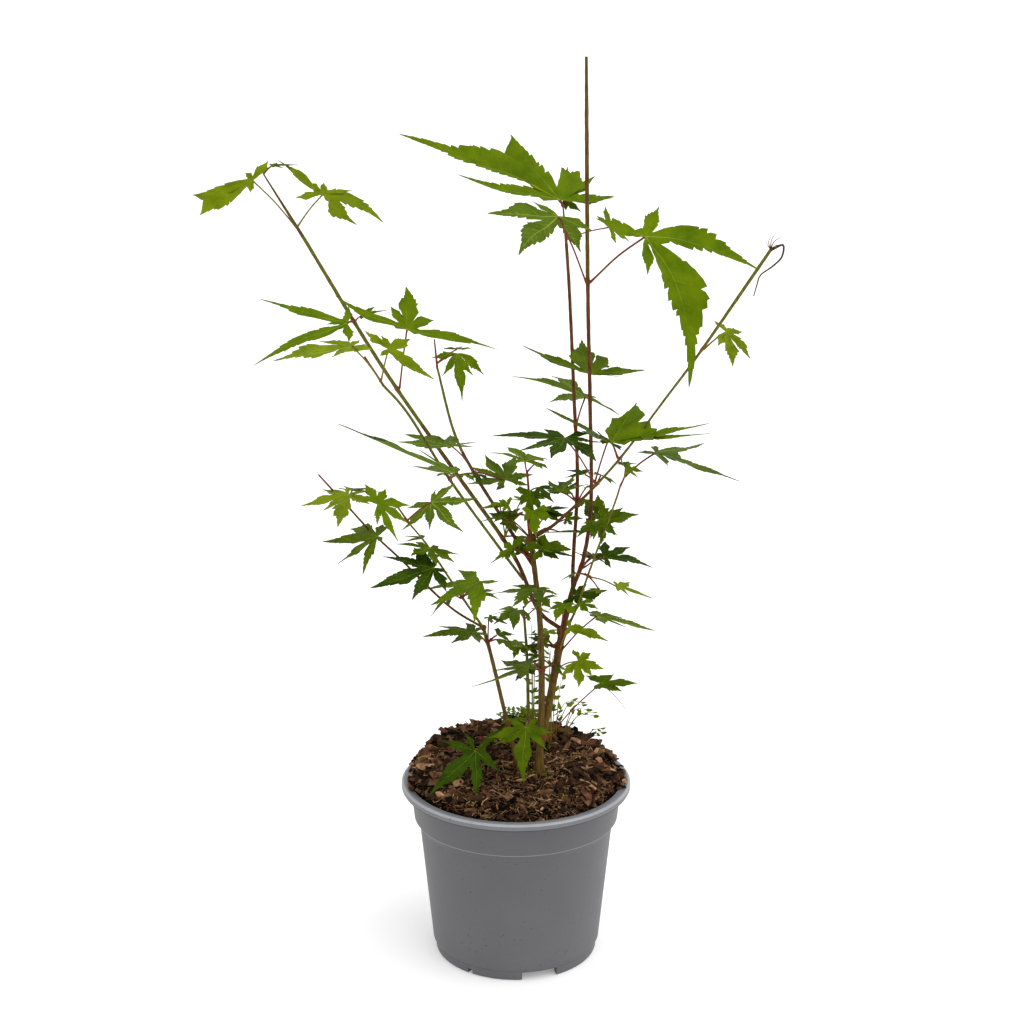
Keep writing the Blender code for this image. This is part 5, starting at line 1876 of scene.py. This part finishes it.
    def lobe_rows(self, number: int) -> tuple[Array, Array]:
        """Shape one lobe beyond its notches.

        Args:
            number: Which lobe it is.

        Returns:
            Its rows, five points each, and its tip.
        """
        draw = self.rule.uniform
        length = self.lengths[number]
        margin = self.teeth(self.notch(number) * 1.06, number)
        reach, share, width = margin.reach, margin.share, margin.width
        count = len(reach)
        fold = draw(0.08, 0.26) * width
        wave = draw(0.0, 6.28)
        twist = np.sin(draw(-0.55, 0.55) * share)
        bow = self.leaf.bows[number] * MM if self.leaf.bows else 0.0
        bow = bow + draw(-0.05, 0.05) * length
        sway = draw(-0.05, 0.05) * length
        shift = (bow * share ** 2 + sway * 4.0 * share * (1.0 - share)) * margin.ease
        slope = np.gradient(shift, reach)
        ahead = np.stack([np.ones(count), slope], axis=1) / np.hypot(1.0, slope)[:, None]
        aside = np.stack([-ahead[:, 1], ahead[:, 0]], axis=1)
        middle = np.stack([reach, shift], axis=1)
        rows = np.zeros((count, 5, 3))
        for side, column, half in ((-1, 0, 1), (1, 4, 3)):
            edge, web = self.edge(number, side, margin)
            ruffle = (0.13 * width * np.sin(wave + side + reach / self.ripple) * margin.ease
                      * (1.0 - web))
            lean = np.minimum(0.24 * width + margin.lead * np.clip(width / 0.003, 0.0, 1.0),
                              0.9 * (length - reach))
            lean = np.maximum.accumulate(reach + lean * (1.0 - web)) - reach
            out = aside * side * edge[:, None]
            rows[:, column, :2] = middle + ahead * lean[:, None] + out
            rows[:, column, 2] = ruffle + 0.75 * fold + side * edge * twist
            lean = 0.5 * np.minimum(0.24 * width, length - reach)
            rows[:, half, :2] = middle + ahead * lean[:, None] + out * 0.5
            rows[:, half, 2] = fold * 0.55 + 0.25 * ruffle + side * 0.5 * edge * twist
        rows[:, 2, :2] = middle
        rows[:, 2, 2] = -fold * 0.3
        tip = np.array([[length, shift[-1] + slope[-1] * (length - reach[-1]), 0.0]])
        cos, sin = math.cos(self.angles[number]), math.sin(self.angles[number])
        turn = np.array([[cos, sin, 0.0], [-sin, cos, 0.0], [0.0, 0.0, 1.0]])
        bend = self.bends[number]
        placed = self.place(rows.reshape(-1, 3) @ turn, bend).reshape(count, 5, 3)
        return placed, self.place(tip @ turn, bend)

    def add_lobe(self, number: int, mesher: Mesher) -> tuple[list[Face], list[Face]]:
        """Store one lobe's points and add its ribs.

        Args:
            number: Which lobe it is.
            mesher: The blade's points.

        Returns:
            The lobe's faces, and the pairs of points along its open edges.
        """
        rows, tip = self.lobe_rows(number)
        reach = self.notch(number)
        centre = self.ray(self.angles[number], reach, self.crease, self.bends[number])
        right, left = self.seam(number, reach), self.seam(number + 1, reach)
        palm = [mesher.put(line) for line in (right, 0.5 * (right + centre), centre,
                                              0.5 * (left + centre), left)]
        grid = np.concatenate([np.stack(palm, axis=1), mesher.put(rows)]).tolist()
        end = int(mesher.put(tip)[0])
        faces: list[Face] = []
        for j in range(4):
            faces += [(0, grid[0][j], grid[0][j + 1]), (grid[-1][j], end, grid[-1][j + 1])]
        for low, high in zip(grid, grid[1:]):
            faces += [(low[j], high[j], high[j + 1], low[j + 1]) for j in range(4)]
        rims: list[Face] = []
        for column, outer in ((0, number == 0), (4, number == self.count - 1)):
            line = [row[column] for row in grid[0 if outer else self.inner - 1:]]
            chain = [*([0] if outer else []), *line, end][::1 if column == 0 else -1]
            rims += zip(chain, chain[1:])
        length = self.lengths[number]
        self.rib(np.concatenate([self.hub[None, :], centre, rows[:, 2], tip]), length)
        if length >= self.veined:
            self.side_ribs(rows, length)
        return faces, rims

    def build(self, tint: Tint) -> None:
        """Add the blade's two-sided skin and its ribs to their heaps.

        Args:
            tint: The colour of the blade's upper side.
        """
        mesher = Mesher()
        mesher.put(self.hub[None, :])
        faces: list[Face] = []
        rims: list[Face] = []
        for number in range(self.count):
            lobe, rim = self.add_lobe(number, mesher)
            faces += lobe
            rims += rim
        total = mesher.count
        points = np.concatenate(mesher.blocks)
        half = self.axes[2] * self.skin * 0.5
        under = [tuple(index + total for index in face[::-1]) for face in faces]
        edge = [(a, a + total, b + total, b) for a, b in rims]
        below = Underside.LIME if tint in (Tint.LIME, Tint.GOLD) else Underside.GREEN
        self.skins.add_skins(np.concatenate([points + half, points - half]),
                             ((faces, tint), (under, below), (edge, tint)))

    def side_ribs(self, rows: Array, length: float) -> None:
        """Add the thin ribs that leave a large lobe's midrib for its teeth.

        Args:
            rows: The lobe's rows, five points each.
            length: The lobe's length.
        """
        for row in range(0, len(rows) - 7, 3):
            for half, edge in ((1, 0), (3, 4)):
                end = 0.3 * rows[row + 2, half] + 0.7 * rows[row + 3, edge]
                line = np.array([rows[row, 2], rows[row + 2, half], end, end])
                self.rib(line, 0.18 * length)

    def rib(self, line: Array, length: float) -> None:
        """Add one rib, a low ridge on both sides of the blade.

        Args:
            line: The rib's points, and one more at its end.
            length: The length of the lobe that it would be the midrib of.
        """
        keep = line[: max(3, int(len(line) * 0.9)): 2] if len(line) > 8 else line[:-1]
        side = np.cross(self.axes[2], np.gradient(keep, axis=0))
        side /= np.linalg.norm(side, axis=1, keepdims=True) + 1e-9
        taper = np.linspace(1.0, 0.25, len(keep))[:, None]
        half = side * (0.00020 + 0.0062 * length) * taper
        rise = self.axes[2] * (self.skin * 0.5 + (0.00006 + 0.0016 * length) * taper)
        sink = self.axes[2] * self.skin * 0.2
        count = len(keep)
        faces = [(a * count + i, b * count + i, b * count + i + 1, a * count + i + 1)
                 for i in range(count - 1) for a, b in ((0, 1), (1, 2), (2, 3), (3, 0))]
        faces += [(0, 3 * count, 2 * count, count),
                  (count - 1, 2 * count - 1, 3 * count - 1, 4 * count - 1)]
        self.veins.add((np.concatenate([keep + half - sink, keep + rise, keep - half - sink,
                                        keep - rise]), faces), "leaf_vein")


@dataclass(frozen=True)
class Node:
    """A place that stalks leave a limb or a twig from, its direction, and how far out."""

    place: Vector
    along: Vector
    reach: float


NEAR_TINTS = {
    Tint.DEEP: (Tint.DEEP, Tint.MID, Tint.FRESH), Tint.MID: (Tint.MID, Tint.DEEP, Tint.FRESH),
    Tint.FRESH: (Tint.FRESH, Tint.FRESH, Tint.MID), Tint.LIME: (Tint.LIME, Tint.FRESH, Tint.MID),
    Tint.GOLD: (Tint.GOLD, Tint.LIME, Tint.FRESH),
}


@dataclass
class Foliage:
    """Every mass of leaves: twigs, stalks, buds, blades and ribs that grow on from the limbs."""

    stems: Stems
    seed: int = 11
    collar: float = 0.0010
    stalk: float = 0.00056
    stoutness: float = 0.0034
    twig: float = 0.0009
    arch: float = 0.035
    bud: float = 0.0026
    bud_sizes: tuple[Span, ...] = ((0.0, 0.18), (0.25, 0.27), (0.5, 0.25), (0.8, 0.12), (1.0, 0.02))
    young_stalk: Span = (9.0, 17.0)
    young_blade: Span = (13.0, 24.0)
    young_form: Triple = (0.7, 1.0, 0.75)
    upper_from: float = 440.0
    middle_from: float = 340.0

    def __post_init__(self) -> None:
        """Start the rule and the heaps."""
        self.rule = np.random.default_rng(self.seed)
        skins = names_of([*Tint, *Underside])
        self.skins = {part: Heap(f"{part}_blades", skins) for part in ("upper", "middle", "lower")}
        self.veins = Heap("leaf_ribs", ("leaf_vein",))
        self.shoots = Heap("stalks_and_twigs", names_of(Shoot))
        self.buds = Heap("buds", ("bud_scale",))

    def young_leaves(self, mass: Mass, nodes: Sequence[Node]) -> list[Leaf]:
        """Draw small leaves at a mass's nodes.

        Args:
            mass: The mass's plan.
            nodes: Its nodes.

        Returns:
            The leaves.
        """
        draw = self.rule.uniform
        leaves = []
        for i in range(mass.young):
            node = i % len(nodes)
            heading = draw(0.0, 360.0)
            stalk = draw(*self.young_stalk)
            blade = draw(*self.young_blade)
            turn = math.radians(heading)
            out = Vector((math.cos(turn), math.sin(turn), draw(0.1, 0.7)))
            hub = nodes[node].place / MM + out.normalized() * stalk
            lobes = tuple(share * blade for share in self.young_form)
            face = (heading + draw(-30, 30), draw(-10, 35), draw(-25, 25))
            leaves.append(Leaf(tuple(hub), face, lobes, 0.1, node))
        return leaves

    def add_stalk(self, node: Node, blade: Blade, skin: Shoot) -> None:
        """Add the stalk from a node to a blade.

        Args:
            node: The node.
            blade: The blade.
            skin: The stalk's skin.
        """
        hub = Vector(blade.hub)
        side = (hub - node.place) - node.along * (hub - node.place).dot(node.along)
        root = node.place + side.normalized() * max(node.reach, 0.0006)
        arch = Vector((0.0, 0.0, self.arch * (hub - root).length))
        foot = Vector(blade.axes[2]) * blade.skin
        path = smooth_path([node.place, root, root.lerp(hub, 0.5) + arch, hub - foot], 0.0028)
        count = len(path)
        thick = self.stalk + self.stoutness * max(blade.lengths)
        radii = [thick * (0.85 + 1.05 * math.exp(-i / 1.7)
                          + 0.25 * math.exp(-(count - 1 - i) / 1.2)) for i in range(count)]
        self.shoots.add(sweep(path, radii, 7), skin)

    def add_bud(self, node: Node, out: Vector) -> None:
        """Add one pointed bud in the corner of a stalk.

        Args:
            node: The stalk's node.
            out: The stalk's direction.
        """
        start = node.place + out * (node.reach - self.collar) + out * self.bud * 0.35
        aim = (node.along * 0.9 + out * 0.5).normalized()
        path = [start + aim * self.bud * share for share, _ in self.bud_sizes]
        self.buds.add(sweep(path, [self.bud * share for _, share in self.bud_sizes], 6),
                      "bud_scale")

    def deal(self, tint: Tint, rule: Rule) -> Tint:
        """Deal a leaf its tint: mostly its mass's own, now and then a neighbour of it."""
        near = NEAR_TINTS[tint]
        draw = rule.uniform(0.0, 1.0)
        return near[0] if draw < 0.6 else near[1] if draw < 0.85 else near[2]

    def nodes(self, mass: Mass) -> list[Node]:
        """Find a mass's nodes, and grow its twig where it has one.

        Args:
            mass: The mass's plan.

        Returns:
            The nodes.
        """
        run = self.stems.runs[mass.limb]
        if not mass.twig:
            place, along, radius = run.at_height(mass.height * MM)
            return [Node(place, along, radius + self.collar)]
        along = (run.path[-1] - run.path[-2]).normalized()
        start = run.path[-1] - along * 0.001
        points = [start] + [Vector(point) * MM for point in mass.twig]
        thick = max(run.radii[-1], self.twig) if mass.leaves else self.twig
        path = smooth_path(points, 0.0025)
        radii = np.linspace(thick, self.twig * (0.7 if mass.leaves else 0.45), len(path))
        self.shoots.add(sweep(path, list(radii), 10), mass.shoot)
        return [Node(start.lerp(points[1], 0.15), along, 0.0),
                *(Node(point, along, 0.0) for point in points[1:])]

    def grow(self, mass: Mass) -> None:
        """Add one mass: its twig, its stalks and buds, and its blades.

        Args:
            mass: The mass's plan.
        """
        nodes = self.nodes(mass)
        for leaf in [*mass.leaves, *self.young_leaves(mass, nodes)]:
            node = nodes[leaf.node]
            seed = int(abs(leaf.hub[0]) * 31 + abs(leaf.hub[2]) * 7)
            high = leaf.hub[2]
            part = ("upper" if high > self.upper_from
                    else "middle" if high > self.middle_from else "lower")
            blade = Blade(leaf, np.random.default_rng(seed), self.skins[part], self.veins)
            tint = leaf.tint or self.deal(mass.tint, blade.rule)
            blade.build(tint)
            pale = tint in (Tint.LIME, Tint.GOLD)
            self.add_stalk(node, blade, Shoot.STALK_GREEN if pale else Shoot.STALK_RED)
            if node.reach:
                out = Vector(blade.hub) - node.place
                out = (out - node.along * out.dot(node.along)).normalized()
                self.add_bud(node, out)

    def build(self, paint: Paintbox) -> None:
        """Grow every mass, then dress and seat the joined pieces.

        Args:
            paint: The materials.
        """
        for mass in MASSES:
            self.grow(mass)
        for twig in DEAD_TWIGS:
            path = smooth_path([Vector(point) * MM for point in twig.path], 0.002)
            radii = list(np.linspace(twig.foot, twig.tip, len(path)) * MM)
            self.shoots.add(sweep(path, radii, 6), twig.skin)
        for heap in self.skins.values():
            settle(heap.piece(paint, 55.0), "leaf_mid")
        settle(self.veins.piece(paint, 80.0), "leaf_mid")
        settle(self.buds.piece(paint, 60.0), "bark_red")
        settle(self.shoots.piece(paint, 60.0), "bark_red", *(mass.name for mass in MASSES))


# ---- weeds


@dataclass(frozen=True)
class Tuft:
    """One small weed: its place on the soil, its fronds and their leaflets, in millimetres."""

    place: Span
    fronds: int
    height: Span
    spread: Span
    heading: Span
    leaflets: int
    leaflet: float
    skin: Herb


@dataclass(frozen=True)
class MossPatch:
    """One patch of moss: its place and reach in millimetres, and how many cushions it has."""

    place: Span
    reach: float
    cushions: int


@dataclass
class Weeds:
    """The little weeds and the moss on the bark mix."""

    bed: SoilBed
    seed: int = 5
    stem: Span = (0.00058, 0.00024)
    moss_limit: float = 0.084
    moss_rise: Span = (0.0012, 0.0040)
    moss_size: Span = (0.0009, 0.0021)
    sharp: float = 50.0
    tufts: tuple[Tuft, ...] = (
        Tuft((6, 62), 11, (11, 24), (6, 18), (0, 360), 8, 5.2, Herb.FRESH),
        Tuft((18, 66), 9, (9, 20), (6, 16), (-90, 200), 8, 4.8, Herb.LIME),
        Tuft((-4, 68), 7, (8, 18), (6, 14), (60, 300), 7, 4.4, Herb.WEED),
        Tuft((10, 70), 8, (9, 19), (4, 14), (0, 180), 7, 4.6, Herb.MID),
        Tuft((33, 50), 4, (30, 56), (10, 26), (-40, 80), 4, 7.0, Herb.LIME),
        Tuft((40, 46), 4, (18, 40), (12, 30), (-40, 60), 4, 6.0, Herb.LIME),
        Tuft((28, 34), 4, (70, 116), (3, 9), (-60, 120), 7, 6.6, Herb.FRESH),
        Tuft((15, 30), 4, (80, 124), (3, 12), (100, 300), 6, 6.4, Herb.FRESH),
        Tuft((58, 62), 3, (7, 15), (8, 18), (-40, 60), 4, 5.0, Herb.MID),
        Tuft((-34, 76), 3, (5, 9), (3, 6), (0, 360), 3, 4.6, Herb.MID),
        Tuft((-62, 54), 2, (4, 7), (3, 5), (0, 360), 3, 3.6, Herb.WEED))
    moss: tuple[MossPatch, ...] = (
        MossPatch((66, 56), 8, 46), MossPatch((58, 64), 7, 30), MossPatch((-40, 70), 7, 26),
        MossPatch((26, 30), 9, 34), MossPatch((12, -14), 7, 40), MossPatch((26, -18), 6, 26),
        MossPatch((44, 44), 9, 26), MossPatch((-12, 44), 10, 24))

    def __post_init__(self) -> None:
        """Start the heap and the rule."""
        self.heap = Heap("weeds", names_of(Herb))
        self.rule = np.random.default_rng(self.seed)

    def leaflet(self, length: float) -> Shape:
        """Shape one pointed leaflet along the first axis."""
        outline = np.array([(0.0, 0.0, 0.0), (0.34, 0.27, 0.10), (0.72, 0.19, 0.06),
                            (1.0, 0.0, -0.04), (0.72, -0.19, 0.06), (0.34, -0.27, 0.10)]) * length
        sides = [(0, 5, 4, 3), (0, 3, 2, 1), (6, 9, 10, 11), (6, 7, 8, 9)]
        return np.concatenate([outline, outline - (0.0, 0.0, 0.00025)]), sides + ring_faces(2, 6)

    def grow(self, tuft: Tuft) -> None:
        """Add one weed's arching fronds and their leaflets.

        Args:
            tuft: The weed's plan.
        """
        draw = self.rule.uniform
        x, y = (part * MM for part in tuft.place)
        up = Vector((0.0, 0.0, 1.0))
        foot = Vector((x, y, float(self.bed.height(x, y)) - 0.001))
        for _ in range(tuft.fronds):
            turn = math.radians(draw(*tuft.heading))
            out = Vector((math.cos(turn), math.sin(turn), 0.0)) * draw(*tuft.spread) * MM
            rise = Vector((0.0, 0.0, draw(*tuft.height) * MM))
            start = foot + Vector((draw(-2, 2), draw(-2, 2), 0.0)) * MM
            path = smooth_path([start, start + out * 0.25 + rise * 0.5,
                                start + out * 0.6 + rise * 0.88,
                                start + out * 1.1 + rise * draw(0.86, 1.0)], 0.0016)
            self.heap.add(sweep(path, list(np.linspace(*self.stem, len(path))), 5), Herb.STALK)
            for i in range(tuft.leaflets):
                share = 0.28 + 0.72 * (i + 1) / tuft.leaflets
                index = min(len(path) - 2, int(share * (len(path) - 1)))
                aim = (path[index + 1] - path[index]).normalized()
                side = aim.cross(up)
                side = side if side.length > 0.1 else Vector((1.0, 0.0, 0.0))
                side = side.normalized() * (-1) ** i
                if i < tuft.leaflets - 1:
                    lift = Vector((0.0, 0.0, draw(-0.4, 0.4)))
                    aim = (side + aim * 0.6 + lift).normalized()
                points, faces = self.leaflet(tuft.leaflet * draw(0.7, 1.25) * MM)
                level = Vector((draw(-0.4, 0.4), draw(-0.9, 0.1), 1.0))
                flat = aim.cross(level).normalized()
                axes = rows_of((aim, flat, aim.cross(flat)))
                self.heap.add((points @ axes + np.array(path[index]), faces), tuft.skin)

    def lay_moss(self, patch: MossPatch) -> None:
        """Add one patch of moss.

        Args:
            patch: The patch's plan.
        """
        draw = self.rule.uniform
        cushion = Lump(0.8, 0.6)
        for _ in range(patch.cushions):
            x, y = (part * MM + self.rule.normal(0.0, 0.45) * patch.reach * MM
                    for part in patch.place)
            if math.hypot(x, y) > self.moss_limit:
                continue
            place = (x, y, float(self.bed.height(x, y)) + draw(*self.moss_rise))
            points = cushion.corners * draw(0.5, 1.0, (6, 3))
            self.heap.add((points * draw(*self.moss_size) + place, cushion.faces), Herb.MOSS)

    def build(self, paint: Paintbox) -> None:
        """Grow every weed, lay the moss, dress and seat them.

        Args:
            paint: The materials.
        """
        for tuft in self.tufts:
            self.grow(tuft)
        for patch in self.moss:
            self.lay_moss(patch)
        settle(self.heap.piece(paint, self.sharp), "leaf_mid")


# ---- studio


@dataclass
class Studio:
    """A pale, faintly glowing floor, soft light and the camera."""

    lens: float = 68.2
    sensor: float = 36.0
    camera_place: Triple = (-0.0033, -1.496, 0.795)
    pitch: float = 15.53
    floor_size: float = 600.0
    floor_drop: float = 0.0005
    floor_shade: float = 0.94
    floor_glow: float = 0.20
    sky: float = 0.95
    sun: float = 1.05
    sun_breadth: float = 70.0
    sun_heading: Triple = (-0.72, 0.42, -1.0)

    def floor(self) -> None:
        """Lay the pale floor, which glows a little to lighten the shadows cast on it."""
        sheet = NodeSheet("pale_floor")
        white = (1.0, 1.0, 1.0)
        # Painted light: the floor's glow lifts the contact shadow round the pot.
        sheet.feed(sheet.shader, Base_Color=(self.floor_shade,) * 3, Roughness=0.9,
                   Specular_IOR_Level=0.1, Emission_Color=white,
                   Emission_Strength=self.floor_glow)
        deselect()
        bpy.ops.mesh.primitive_plane_add(size=self.floor_size,
                                         location=(0.0, 0.0, -self.floor_drop))
        floor = bpy.context.object
        floor.name = "floor"
        floor.data.materials.append(sheet.material)

    def light(self) -> None:
        """Set an even white sky and one broad, soft sun from above the front."""
        world = bpy.data.worlds.new("soft_sky")
        world.use_nodes = True
        sky = world.node_tree.nodes["Background"]
        sky.inputs["Color"].default_value = (1.0, 1.0, 1.0, 1.0)
        sky.inputs["Strength"].default_value = self.sky
        bpy.context.scene.world = world
        lamp = bpy.data.lights.new("broad_sun", "SUN")
        lamp.energy = self.sun
        lamp.angle = math.radians(self.sun_breadth)
        item = bpy.data.objects.new("broad_sun", lamp)
        bpy.context.scene.collection.objects.link(item)
        item.rotation_euler = Vector(self.sun_heading).to_track_quat("-Z", "Y").to_euler()

    def camera(self) -> None:
        """Place the camera."""
        lens = bpy.data.cameras.new("camera")
        lens.lens = self.lens
        lens.sensor_width = self.sensor
        eye = bpy.data.objects.new("camera", lens)
        eye.location = self.camera_place
        eye.rotation_euler = (math.radians(90.0 - self.pitch), 0.0, 0.0)
        bpy.context.scene.collection.objects.link(eye)
        bpy.context.scene.camera = eye
        bpy.context.scene.view_settings.view_transform = "Standard"

    def build(self) -> None:
        """Make the floor, the lamps and the camera."""
        self.floor()
        self.light()
        self.camera()


def main() -> None:
    """Build the studio, the pot and the plant in order."""
    logging.basicConfig(level=logging.INFO, format="%(name)s: %(message)s")
    paint = Paintbox()
    Studio().build()
    pot = Pot()
    pot.build(paint)
    bed = SoilBed(pot)
    bed.build(paint)
    Mulch(bed).build(paint)
    stems = Stems(bed)
    stems.build(paint)
    Foliage(stems).build(paint)
    Weeds(bed).build(paint)


if __name__ == "__main__":
    main()
